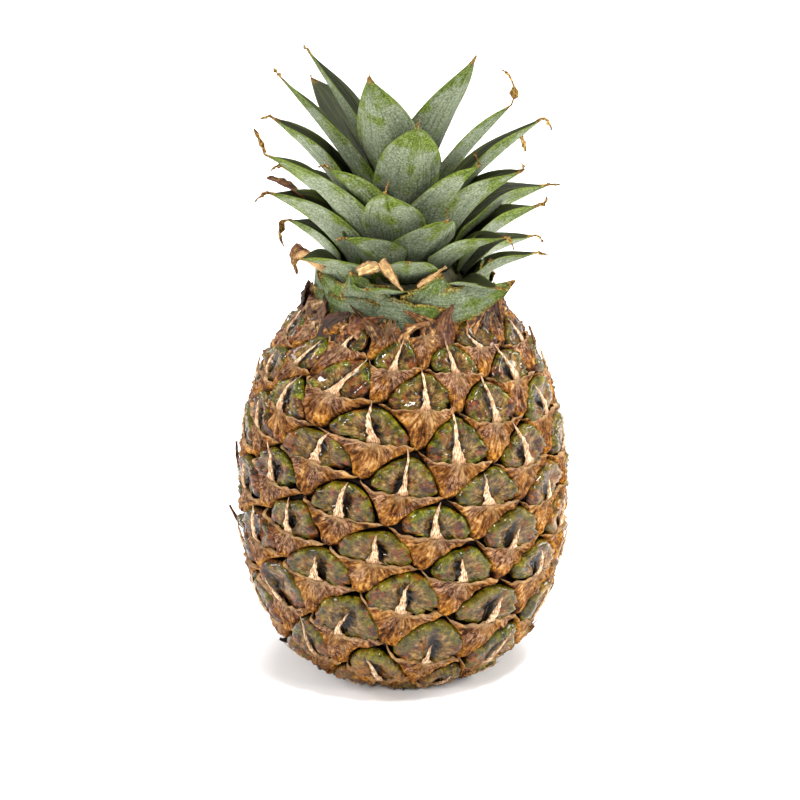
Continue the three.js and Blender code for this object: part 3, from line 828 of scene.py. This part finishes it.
# %% Dry spike straw and groove skin
spine = new_material("dry_spike_straw")
flat = eye_coordinates()[0]
lengthwise = add("VectorMath", [(0, flat), (1, (2.4, 0.5, 1))], operation="MULTIPLY")
streak = weighted((noise(lengthwise, 1.0, 3.0), 0.6), (object_noise(1.4, 3, 0.6), 0.4))
straw = ramp(streak, [(0.38, "#7a5236"), (0.46, "#b08a66"), (0.53, "#d8bc98"), (0.62, "#f6e4c8")])
run = attribute("along")
straw = layers(
    straw, (between(run, 0.7, 1.0, 0, 0.5), "#7d4a28"), (between(run, 0.25, 0.0, 0, 0.75), "#9a6a3c"))
finish_material(straw, 0.55, streak, 0.8, contrast=1.2, sockets=[("IOR", 1.4)])

groove = new_material("groove_shadow_skin")
# painted shade: the groove skin's near-black browns stand for the shade deep in the grooves
groove_mottle = object_noise(3, 3)
finish_material(ramp(groove_mottle, [(0.3, "#26150a"), (0.7, "#5a3718")]), 0.9, groove_mottle, 0.5)
print("made", paper.name, spine.name, groove.name)

# %% Dress the rind
for piece, material in ((shield_piece, skin), (bract_piece, paper), (spike_piece, spine),
                        (groove_skin, groove)):
    dress(piece, material)
    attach(piece, "root")
    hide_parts("fruit")
print("the rind is dressed")

# %% [markdown]
# ## The crown's leaves
# Each leaf is the solid's leaf again, from the same numbers but in finer steps: broad at its foot,
# folded along its middle, arching out, and drawn out at the tip into a dried thread that curls.
# A grid gets a second side from Solidify, and each point is then put in its place by its row and
# column. The two sides are kept apart, because the outer one is bloomed grey and the inner one isn't.

# %% The leaves' numbers
STEM = [(25, 147.7), (15, 164), (3, 184)]
LOWEST_LEAF, HIGHEST_LEAF = -25, 17
FRONT_LEAF_ANGLE, LEAF_ANGLE = -10, 137.5
LEAF_THICKNESS, WIDEST_SHARE, FOOT_WIDTH = 1.1, 0.3, 0.64
TIP_REACH = [(-25, 37), (-19, 46), (-10, 50), (0, 47), (8, 42), (18, 36)]
TIP_HEIGHT = [(-25, 154), (-10, 178), (0, 198), (16, 242), (18, 242)]
TIP_HEIGHT_BEHIND = [(-25, 154), (-9, 177), (4, 190), (18, 206)]
LEAF_WIDTH = [(-25, 22), (-15, 25), (8, 25), (18, 20)]
# leaves that stand out from the rule: reach, height, width, degrees round
OWN_TIP = {
    -24: (38, 163), -23: (50, 164.5, 16, 9), -20: (52, 161, 20, -8), -19: (43.5, 170.5, 18),
    -18: (48, 158.5, 17, 10), -15: (50, 178.5, 19, 4), -11: (49, 185.5), -10: (45, 175), -8: (42, 178),
    -7: (56, 181.5), -6: (47, 189, 20, 6), -5: (42, 185), -4: (46, 178), -3: (56, 206), -2: (45, 195.6),
    -1: (45, 190), 0: (46, 198, 24, 2), 1: (53, 196, 13), 2: (48, 211, 19), 3: (41, 203.5, 21),
    4: (40, 196, 20), 5: (41, 203, 21), 6: (51, 210.5, 15), 7: (43, 220), 8: (42, 221.5, 24, -3),
    9: (23, 202, 13), 10: (46, 231, 19), 11: (44, 223, 18), 12: (19, 201, 10), 13: (45, 239, 28, 7),
    14: (20, 213, 9), 15: (37, 235, 15), 16: (40, 243, 27, 10), 17: (7, 208, 9)}
# how bluntly leaves narrow to the tip (1 is straight)
OWN_TAPER = {13: 1.7, 16: 1.35, 15: 1.2, 10: 1.5, 7: 4, 8: 1.9, 0: 2.2, 5: 1.8, 11: 2.6, -8: 1.7, 3: 1.7}
USUAL_TAPER = 1.6
OWN_POINT = {0: 0.95, 3: 0.93, 5: 0.93, -8: 0.93, 8: 0.96}  # how far up a blade is drawn to a point
OWN_WIDER = {8: 1.15, 16: 1.12, 3: 1.2, 5: 1.1}  # than the solid, which keeps clear of others
# how steeply their halves fold up; below 0 they fold back
OWN_FOLD = {0: -0.15, -13: -0.1, -5: 0.15, -21: 0.1, 15: 1.0, 10: 0.5, 7: 0.3, 5: 0.35, 16: 0.2,
            13: 0.3, 8: 0.3, 11: 0.35, 3: 0.35, 2: 0.9, 6: 0.95, 1: 0.9}
OWN_FLAP = {11: 2.0, -19: 1.5, 1: 1.8, -6: 0.9}  # half the width of a dried end, in mm
# dried threads: length in mm, first turn and curl in degrees (up is positive), and turn sideways
LEAF_ENDS = {
    15: (2, 0, 0, 0), 16: (1, 0, 0, 0), 10: (4, 6, 0, 0), 7: (2, 20, 30, 0), 13: (3, 10, 60, 10),
    8: (4, 10, 40, 20), 11: (15, 25, 90, 5), 6: (5, -55, -80, 0), 1: (8, -50, -70, 0),
    -2: (4, 40, 60, 0), 3: (6, 55, 20, -20), -7: (5, 0, -40, 0), 2: (4, -10, -80, 0),
    -3: (12, 45, -20, 10), -6: (5, 0, -110, 0), -11: (6, -30, -60, 0), 0: (5, 50, 20, 15),
    -19: (11, -60, -110, 0), -5: (6, 60, 30, 0), -10: (5, -30, -90, 0), -20: (5, 0, -100, 0),
    -23: (4, 0, -50, 0), -18: (5, 10, -30, 0)}
LEAF_ROWS, LEAF_COLUMNS, THREAD_ROWS = 20, 8, 8


def stem_radius(height):
    """The solid stem's radius, which the leaves keep clear of."""
    return np.interp(height, [147, 164, 184, 184.1], [25, 15, 3, 0], right=0)


print(HIGHEST_LEAF - LOWEST_LEAF + 1, "leaves")

# %% A leaf's line and its flat sheet
def spine_of(foot, tip, share, rows):
    """Points along a leaf, and the direction there, in reach from the axis and height."""
    straight = smooth(0.5, 0.8, share)
    bend = foot + (tip - foot) * (0.34 + 0.08 * straight, 0.66 - 0.12 * straight)
    t = np.linspace(0, 1, rows + 1)[:, None]
    at = (1 - t) ** 2 * foot + 2 * t * (1 - t) * bend + t**2 * tip
    way = 2 * (1 - t) * (bend - foot) + 2 * t * (tip - bend)
    return at, way / np.linalg.norm(way, axis=1)[:, None]


def with_thread(at, way, length, first, curl, aside):
    """Adds the dried thread's rows, and how far sideways each row has gone."""
    heading = math.atan2(way[-1][1], way[-1][0])
    place, sideways = at[-1].copy(), 0.0
    points, ways, asides = list(at), list(way), [0.0] * len(at)
    step = length / THREAD_ROWS
    for i in range(THREAD_ROWS):
        turned = heading + math.radians(first + curl * i / THREAD_ROWS)
        direction = np.array([math.cos(turned), math.sin(turned)])
        place = place + direction * step
        sideways += math.tan(math.radians(aside)) * step
        points.append(place)
        ways.append(direction)
        asides.append(sideways)
    return np.array(points), np.array(ways), np.array(asides)


def leaf_sheet(name, columns, rows):
    """A flat grid with two sides. Gives each point's column, row and side as well."""
    bpy.ops.object.select_all(action="DESELECT")
    bpy.ops.mesh.primitive_grid_add(x_subdivisions=columns, y_subdivisions=rows, size=2)
    sheet = bpy.context.object
    sheet.name = sheet.data.name = name
    flat = points_of(sheet)
    column = np.round((flat[:, 0] + 1) / 2 * columns)
    row = np.round((flat[:, 1] + 1) / 2 * rows).astype(int)
    thicken = sheet.modifiers.new("two sides", "SOLIDIFY")
    thicken.thickness = 0.1
    thicken.offset = -1
    apply_modifiers(sheet)
    inner = np.r_[np.ones(len(flat)), np.zeros(len(flat))]
    return sheet, np.tile(column, 2), np.tile(row, 2), inner


print("leaf sheets of", LEAF_ROWS + THREAD_ROWS, "rows")

# %% Model a leaf
def plan_leaf(leaf):
    """The tip's reach and height, the width, where the leaf faces and how far that is from the front."""
    angle = FRONT_LEAF_ANGLE + leaf * LEAF_ANGLE
    from_front = abs(from_angle(angle, 0))
    behind = smooth(115, 150, from_front)
    height = (1 - behind) * np.interp(leaf, *zip(*TIP_HEIGHT))
    height = height + behind * np.interp(leaf, *zip(*TIP_HEIGHT_BEHIND))
    reach = np.interp(leaf, *zip(*TIP_REACH)) + spread(leaf, 11, 0.8)
    usual = (reach, height, np.interp(leaf, *zip(*LEAF_WIDTH)), 0)
    own = OWN_TIP.get(leaf, ())
    tip_reach, tip_height, width, turned = own + usual[len(own):]
    return np.array([tip_reach, tip_height]), width, math.radians(angle + turned), from_front


def half_width(leaf, t, width):
    """Half the width: broadest a little above the foot, then narrowing to the dried thread."""
    taper = OWN_TAPER.get(leaf, USUAL_TAPER)
    narrowing = 1 - (np.clip((t - WIDEST_SHARE) / (1 - WIDEST_SHARE), 0, 1)) ** taper
    body = np.where(t < WIDEST_SHARE, FOOT_WIDTH + (1 - FOOT_WIDTH) * t / WIDEST_SHARE, narrowing)
    body = body * OWN_WIDER.get(leaf, 1)
    if leaf in OWN_POINT:
        body = body * (1 - 0.7 * smooth(OWN_POINT[leaf] - 0.06, OWN_POINT[leaf] + 0.02, t))
    flap = OWN_FLAP.get(leaf, 0.4 + 0.5 * chance(leaf, 14))
    thread = np.interp(t, [0.88, 1, 1.1, 1.25, 1.4], [0.7, 0.6, flap, 0.6 * flap, 0.12])
    return np.maximum(thread, width / 2 * body)


def folded(leaf, t, side, half, from_front):
    """How far the blade lies inward: folded along its middle, wavy, with a furrow at the midrib."""
    sidelong = smooth(55, 85, from_front) * smooth(135, 110, from_front)
    steep = OWN_FOLD.get(leaf, 0.42 + 0.5 * sidelong)
    fold = steep * smooth(-0.1, 0.35, t) * (0.55 + 0.45 * smooth(0.3, 0.8, t))
    wave = 0.5 * np.sin(9 * t + 5 * chance(leaf, 8) + side) * np.abs(side) ** 2 * smooth(0.1, 0.4, t)
    lift = fold * half * np.abs(side) ** 1.3 + wave * smooth(1.02, 0.9, t)
    return lift - 0.35 * hump((side, 0, 0.16)) * smooth(1, 0.8, t)


def model_leaf(leaf):
    share = (leaf - LOWEST_LEAF) / (HIGHEST_LEAF - LOWEST_LEAF + 1.5)
    foot = np.array([np.interp(share, [0, 0.55, 1], [p[i] for p in STEM]) for i in (0, 1)])
    tip, width, angle, from_front = plan_leaf(leaf)
    at, way = spine_of(foot, tip, share, LEAF_ROWS)
    end = LEAF_ENDS.get(leaf, (3 + 3 * chance(leaf, 5), spread(leaf, 6, 25), spread(leaf, 7, 90), 0))
    at, way, aside = with_thread(at, way, *end)
    name = f"crown_leaf_{leaf - LOWEST_LEAF + 1:02d}"
    sheet, column, row, inner = leaf_sheet(name, LEAF_COLUMNS, LEAF_ROWS + THREAD_ROWS)
    t, side = row / LEAF_ROWS, 2 * column / LEAF_COLUMNS - 1
    half = half_width(leaf, t, width)
    lift = folded(leaf, t, side, half, from_front)
    thick = LEAF_THICKNESS * (1 - 0.75 * np.abs(side)) * (1 - 0.5 * np.minimum(t, 1))
    twist = np.radians(90 + 120 * chance(leaf, 15)) * smooth(0.97, 1.25, t)  # the dried end crumples
    crumple = spread(row, leaf + 70, 0.5) * smooth(0.97, 1.05, t) * side
    lift = lift * np.cos(twist) + side * half * np.sin(twist) + crumple
    lift = lift + (inner - 0.5) * np.maximum(thick, 0.25) + LEAF_THICKNESS / 2
    half = half * np.maximum(np.abs(np.cos(twist)), 0.25)
    inward = np.stack([-way[row, 1], way[row, 0]], -1)
    reach, height = (at[row] + inward * lift[:, None]).T
    reach = np.maximum(reach, stem_radius(height) + 0.6)
    turn = angle + (side * half + aside[row]) / np.maximum(reach, 8)
    set_points(sheet, np.stack([reach * np.sin(turn), -reach * np.cos(turn), height], -1) * MM)
    young = 0.22 * smooth(4, 12, leaf)  # deeper green
    mark(sheet, along=t, side=side, inner=inner, chance=chance(leaf, 9), dark=young)
    face_outward(sheet)
    bpy.ops.object.shade_smooth()
    return sheet


leaves = {leaf: model_leaf(leaf) for leaf in range(LOWEST_LEAF, HIGHEST_LEAF + 1)}
print("leaf:", triangles(leaves[0]), "triangles")

# %% [markdown]
# ### The leaf skin
# A stiff green blade. Its outer side is covered with a pale grey bloom of tiny scales, thin along the
# midrib and towards the tip, where the green shows; the inner side is smooth and dark green. The
# margins are yellow-green, the end is dried to straw, and so are the worn edges of the collar's
# leaves. The young leaves are greener. Fine veins run lengthwise, 0.7 mm apart.

# %% Bloomed leaf
leaf_skin = new_material("bloomed_crown_leaf")
t, side, own = attribute("along"), attribute("side"), attribute("chance")
away = maths("ABSOLUTE", side)
vein_place = add("CombineXYZ", [(0, times(side, 16.0)), (1, times(t, 3.0)), (2, times(own, 30.0))])
veins = noise(vein_place, 1.0, 4.0)
grain = weighted((object_noise(0.8, 3, 0.7), 0.6), (veins, 0.4))
cloud = object_noise(9, 3)

bloom = ramp(grain, [(0.4, "#848e74"), (0.5, "#a8b097"), (0.6, "#cacfba")])
green = ramp(grain, [(0.41, "#5e6f28"), (0.5, "#84953e"), (0.59, "#b0bc6c")])
bare = plus(times(between(away, 0.3, 0.0), 0.2), between(t, 0.55, 1.05, 0, 0.75))
bare = plus(bare, between(away, 0.5, 1.0, 0, 0.3))
bare = plus(bare, between(cloud, 0.35, 0.65, -0.3, 0.35))
bare = between(plus(bare, times(own, 0.15)), 0.2, 0.8)
# the last layer is partly barer skin and partly painted shade: the blade darkens towards its foot, where
# the leaves tuck in between one another
outside = layers(
    bloom, (bare, green), (between(veins, 0.5, 0.7, 0, 0.4), "#4d5f3d"),
    (times(between(t, 0.32, 0.05), 0.7), "#38442a"))
inside_colour = ramp(veins, [(0.35, "#2a2e08"), (0.65, "#565c1a")])
dry_colour = ramp(grain, [(0.4, "#3a260c"), (0.5, "#9c742c"), (0.6, "#e2cc84")])
worn = times(times(attribute("worn"), between(away, 0.6, 1.0)), between(cloud, 0.4, 0.55))
dry = between(plus(t, times(cloud, 0.1)), 0.98, 1.05)
colour = layers(
    outside, (attribute("inner"), inside_colour), (between(away, 0.9, 1.0, 0, 0.4), "#96a34a"),
    (attribute("dark"), "#37451f"), (times(worn, 0.7), dry_colour), (dry, dry_colour))
finish_material(colour, 0.6, plus(veins, times(grain, 0.5)), 0.5, sockets=[("IOR", 1.34)])
for leaf, piece in leaves.items():
    dress(piece, leaf_skin)
    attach(piece, "root")
    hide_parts(f"leaf_{leaf - LOWEST_LEAF + 1:02d}")
print("made", leaf_skin.name, "for", len(leaves), "leaves")

# %% [markdown]
# ## The collar and the dried flakes
# Short leaves hug the crown's foot, and round the neck stand the topmost bracts, dried to shaggy
# paper. A few dried tips and curls stand off the outline. Each is a strip bent along a curve.

# %% Bend a strip
SHOULDER_HEIGHT = 141
STRIP_ROWS, STRIP_COLUMNS, STRIP_WIDEST = 14, 6, 0.35
STRIP_END = 1.03  # past 1 the leaf skin is dried
PAPER_THICKNESS = 0.5


def round_the_axis(angle, radius, height):
    """A point in mm. Below the shoulder the radius is measured from the skin."""
    turn = math.radians(angle)
    if height < SHOULDER_HEIGHT:
        radius += np.interp(height, outline_height, outline_radius)
    return np.array([radius * math.sin(turn), -radius * math.cos(turn), height])


def unit(vectors):
    return vectors / np.maximum(np.linalg.norm(vectors, axis=-1), 1e-6)[..., None]


def bend_strip(name, seed, foot, bend, tip, width, cup, crumple, twist=0, blunt=1.4, foot_share=0.7, dark=0,
               start=0):
    """A strip in mm from foot to tip past a bend, each an angle, a distance out and a height."""
    sheet, column, row, inner = leaf_sheet(name, STRIP_COLUMNS, STRIP_ROWS)
    t, side = row / STRIP_ROWS, 2 * column / STRIP_COLUMNS - 1
    foot, bend, tip = (round_the_axis(*place) for place in (foot, bend, tip))
    t1 = t[:, None]
    at = (1 - t1) ** 2 * foot + 2 * t1 * (1 - t1) * bend + t1**2 * tip
    way = unit(2 * (1 - t1) * (bend - foot) + 2 * t1 * (tip - bend))
    away = unit((foot + bend) / 2 * (1, 1, 0))
    across = unit(np.cross(way, away))
    out = np.cross(across, way)
    widening = foot_share + (1 - foot_share) * t / STRIP_WIDEST
    narrowing = 1 - (np.clip((t - STRIP_WIDEST) / (1 - STRIP_WIDEST), 0, 1)) ** blunt
    half = width / 2 * np.where(t < STRIP_WIDEST, widening, narrowing)
    half = np.maximum(half, 0.25) * (1 + spread(row + 30 * np.sign(side), seed, 0.18) * np.abs(side))
    rolled = np.radians(twist) * t
    long_folds = np.sin(5 * t + 4 * side + 9 * chance(seed, 1)) * 0.6
    short_folds = np.sin(11 * t - 7 * side + 9 * chance(seed, 2)) * 0.4
    lift = -cup * half * side**2 + crumple * (long_folds + short_folds)
    lift = lift + crumple * 0.6 * spread(row + 40 * column, seed + 5, 1)
    aside = side * half * np.cos(rolled) - lift * np.sin(rolled)
    lift = side * half * np.sin(rolled) + lift * np.cos(rolled) + (0.5 - inner) * PAPER_THICKNESS
    set_points(sheet, (at + across * aside[:, None] + out * lift[:, None]) * MM)
    run = start + (STRIP_END - start) * t
    mark(sheet, along=run, side=side, inner=inner, chance=chance(seed, 3), dark=dark)
    return sheet


def join_strips(name, strips, material):
    """Makes one piece of many strips; it rides on the one body that the part has."""
    piece = join(name, strips)
    face_outward(piece)
    dress(piece, material)
    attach(piece, "root")
    print(name, len(strips), "strips,", triangles(piece), "triangles")
    return piece


print("strips of", STRIP_ROWS, "rows")

# %% Collar leaves
COLLAR_LEAVES = [  # foot, bend and tip (angle, radius, height) and width
    ((20, 26, 148), (20, 31, 152), (26, 32, 163), 20),
    ((-30, 26, 148), (-30, 31, 152), (-36, 32, 163), 20),
    ((75, 26, 148), (75, 31, 152), (84, 33, 160), 20),
    ((-85, 26, 148), (-85, 31, 152), (-94, 33, 160), 20),
    ((-8, 29, 150), (-42, 34, 147), (-76, 32, 157), 16),
    ((-4, 30, 146.5), (-40, 37, 143.5), (-80, 34, 151), 13),
    ((-26, 29, 147.5), (0, 35, 145.5), (28, 33, 150), 14),
    ((12, 29, 150), (38, 37, 147), (62, 46, 158), 16),
    ((26, 30, 146.5), (52, 36, 144.5), (80, 34, 152), 13),
    ((70, 29, 150), (96, 35, 147), (124, 36, 157), 17),
    ((150, 29, 149), (122, 36, 145.5), (94, 34, 153), 15),
    ((-64, 29, 149), (-94, 36, 145.5), (-122, 36, 156), 16),
    ((-172, 29, 150), (-145, 35, 147), (-116, 34, 156), 16),
    ((136, 29, 147), (164, 36, 145), (194, 36, 154), 15),
    ((-128, 29, 147), (-158, 36, 145), (-186, 33, 152), 13)]
collar = []
for number, (foot, bend, tip, width) in enumerate(COLLAR_LEAVES):
    strip = bend_strip("collar", 200 + number, foot, bend, tip, width, 0.15, 0.5, blunt=1.6,
                       foot_share=0.9, start=0.22, dark=0.05 + 0.45 * chance(number, 33))
    mark(strip, worn=1)
    collar.append(strip)
collar_piece = join_strips("collar_leaves", collar, leaf_skin)

# %% Shaggy bracts round the neck
NECK_BRACTS = 28
shaggy = []
for number in range(NECK_BRACTS):
    angle = number * 360 / NECK_BRACTS + spread(number, 101, 6)
    foot = (angle, -1, 136 + spread(number, 104, 3))
    bend = (angle + spread(number, 105, 9), 36 + 3 * chance(number, 106), 143 + spread(number, 111, 1))
    tip = (angle + spread(number, 107, 22), 32 + spread(number, 103, 3), 148.5 + spread(number, 108, 4))
    width, dark = 8 + spread(number, 109, 4), 0.2 + 0.55 * chance(number, 112)
    shaggy.append(bend_strip("bract", 300 + number, foot, bend, tip, width, 0.4, 0.9,
                             twist=spread(number, 110, 60), blunt=1.3, dark=dark))
print(len(shaggy), "neck bracts")

# %% Dried flakes and folds
FLAKES = [  # foot, bend and tip (angle, distance out, height), width, cup, twist, how dark
    ((-80, -1, 134), (-80, 4, 140.5), (-78, 31, 147), 2.4, 0.3, 60, 0.7),
    ((-74, 35, 164), (-77, 42.5, 169), (-78, 39.5, 156), 5, 0.5, 150, 0.35),
    ((-60, 34, 160), (-66, 40, 166), (-74, 41, 163), 7, 0.5, 40, -0.8),
    ((-90, 36, 182), (-90, 45, 190), (-90, 50, 190), 4, 0.5, 40, 0.5),
    ((-91, -1, 68), (-92, 3.5, 76), (-93, 4, 86), 1.8, 0.2, 40, 0.4),
    ((-91, -1, 48), (-92, 3, 52), (-93, 6.5, 60), 1.8, 0.2, 60, 0.3),
    ((-90, -1, 27), (-90, 4, 31), (-90, 2.5, 24), 3.5, 0.8, 160, 0.8),
    ((-70, -1, 12), (-70, 3, 10), (-72, 5, 13), 4, 0.7, 90, 0.8),
    ((-30, -1, 5), (-30, 3, 1.5), (-32, 3, 5), 5, 0.8, 130, 0.4),
    ((88, -1, 118), (88, 3, 125), (90, 5, 133), 1.5, 0.2, 50, 0.3),
    ((72, -1, 136), (72, 3, 140), (70, 36, 153), 1.8, 0.2, 40, 0.2),
    ((58, -1, 138), (60, 3, 140.5), (56, 35, 151), 1.8, 0.2, 40, 0.1),
    ((92, -1, 75), (92, 2.5, 79), (92, 1.5, 85), 1.8, 0.3, 60, 0.2),
    ((92, -1, 57), (92, 2, 60), (92, 1.5, 66), 1.8, 0.3, 60, 0.2),
    ((92, -1, 43), (92, 2.5, 47), (92, 1.5, 52), 2, 0.4, 90, 0.2),
    ((70, -1, 15), (72, 3, 14), (74, 4, 18), 4.5, 0.6, 60, 0.1),
    ((36, -1, 4), (42, 2, 3), (48, 3, 4), 3.5, 0.6, 90, 0.8),
    ((130, -1, 70), (131, 3, 74), (130, 2, 80), 2.5, 0.4, 90, 0.3),
    ((-150, -1, 90), (-151, 3, 95), (-150, 2, 101), 2.5, 0.4, 60, 0.2),
    ((170, -1, 40), (168, 3, 45), (166, 2, 50), 2.5, 0.4, 80, 0.3)]
LEAF_FLAPS = [  # dried folds that hang on the low leaves, all of them pale
    ((-22, 43, 167), (-14, 47, 172), (-6, 45, 170), 4.5, 0.4, 30, -0.75),
    ((-10, 46, 173), (-6, 47, 170), (0, 44, 161.5), 4.5, 0.5, 60, -0.75),
    ((7, 43, 162.5), (13, 46, 167), (20, 45, 170), 2.2, 0.5, 60, -0.75)]
for name, first_seed, crumple, strips in (("flake", 400, 0.3, FLAKES), ("flap", 430, 0.5, LEAF_FLAPS)):
    for number, (foot, bend, tip, width, cup, twist, dark) in enumerate(strips):
        shaggy.append(bend_strip(name, first_seed + number, foot, bend, tip, width, cup, crumple,
                                 twist=twist, blunt=1.5, dark=dark))
print(len(shaggy), "strips of dry paper")

# %% [markdown]
# ### Shaggy dry paper
# The same dead tissue as the bracts, thinner and more bleached: red-brown to orange-gold with pale
# cream folds, dull, with lengthwise fibres about 1 mm apart.

# %% Shaggy dry paper
shag = new_material("shaggy_dry_paper")
t, side, own = attribute("along"), attribute("side"), attribute("chance")
place = add("CombineXYZ", [(0, times(side, 5.0)), (1, times(t, 3.0)), (2, times(own, 40.0))])
fleck = object_noise(2.0, 4, 0.6)
mixed = weighted((noise(place, 1.0, 4.0), 0.5), (fleck, 0.5))
tone = ramp(mixed, [(0.4, "#3e2410"), (0.47, "#8e6434"), (0.54, "#c49c62"), (0.62, "#f0dab2")])
edge = times(between(maths("ABSOLUTE", side), 0.55, 1.0, 0, 0.8), between(fleck, 0.4, 0.55))
dark = attribute("dark")
tone = layers(
    tone, (between(own, 0.6, 1.0, 0, 0.5), "#8c4a22"), (between(dark, 0, 1), "#2e180b"),
    (between(dark, 0, -1, 0, 0.42), "#f8e2b4"), (edge, "#7a4a20"))
finish_material(tone, 0.65, mixed, 1.2, sockets=[("IOR", 1.4)])
shaggy_piece = join_strips("shaggy_neck_bracts", shaggy, shag)

# %% [markdown]
# ### The stem
# Pale fibrous pith, dull, hardly seen between the feet of the leaves.

# %% Stem pith
stem_pith = new_material("crown_stem_pith")
pith_colour = ramp(object_noise(4, 3), [(0.3, "#4b4a26"), (0.7, "#8c8450")])
finish_material(pith_colour, 0.7, object_noise(1.5, 3), 0.4)
dress(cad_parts["crown_stem"], stem_pith)
print("made", stem_pith.name)

# %% [markdown]
# ## Light and ground
# A white sweep under a large soft light overhead, with a softbox at each side, two smaller ones in
# front, and a little one that makes the sharpest glints. The white surroundings fill the underside,
# so that only a close, faint shadow is left at the foot.

# %% Floor, lights and world
FLOOR_WIDTH = 14
LIGHT_AIM = Vector((0, 0, 0.1))
SKY_STRENGTH = 0.66
SOFT_LIGHTS = [  # name, place and width in metres, power in watts
    ("ceiling", (0.1, 0.35, 1.5), 1.3, 34),
    ("left_side", (-1.5, 0.35, 0.7), 0.6, 15),
    ("right_side", (1.5, 0.3, 0.7), 0.6, 18),
    ("front_left", (-1.0, -1.4, 1.0), 0.32, 14),
    ("front_right", (1.2, -1.2, 1.0), 0.32, 10),
    ("window", (0.3, -0.7, 1.4), 0.18, 15)]

bpy.ops.object.select_all(action="DESELECT")
bpy.ops.mesh.primitive_plane_add(size=FLOOR_WIDTH, location=(0, 0, -0.2 * MM))
floor = bpy.context.object
floor.name = "floor"
board = new_material("white_paper_sweep")
shader = add("BsdfPrincipled", [("Base Color", linear("#f8f8f8")), ("Roughness", 0.95)])
add("OutputMaterial", [("Surface", shader)])
floor.data.materials.append(board)


def soft_light(name, place, width, power):
    data = bpy.data.lights.new(name, "AREA")
    data.shape = "DISK"
    data.size = width
    data.energy = power
    light = bpy.data.objects.new(name, data)
    bpy.context.scene.collection.objects.link(light)
    light.location = place
    light.rotation_euler = (LIGHT_AIM - light.location).to_track_quat("-Z", "Y").to_euler()


for light in SOFT_LIGHTS:
    soft_light(*light)
world = bpy.data.worlds.new("studio")
bpy.context.scene.world = world
world.use_nodes = True
background = world.node_tree.nodes["Background"]
background.inputs["Color"].default_value = (1, 1, 1, 1)
background.inputs["Strength"].default_value = SKY_STRENGTH
bpy.context.scene.view_settings.view_transform = "Standard"
print("lights placed")
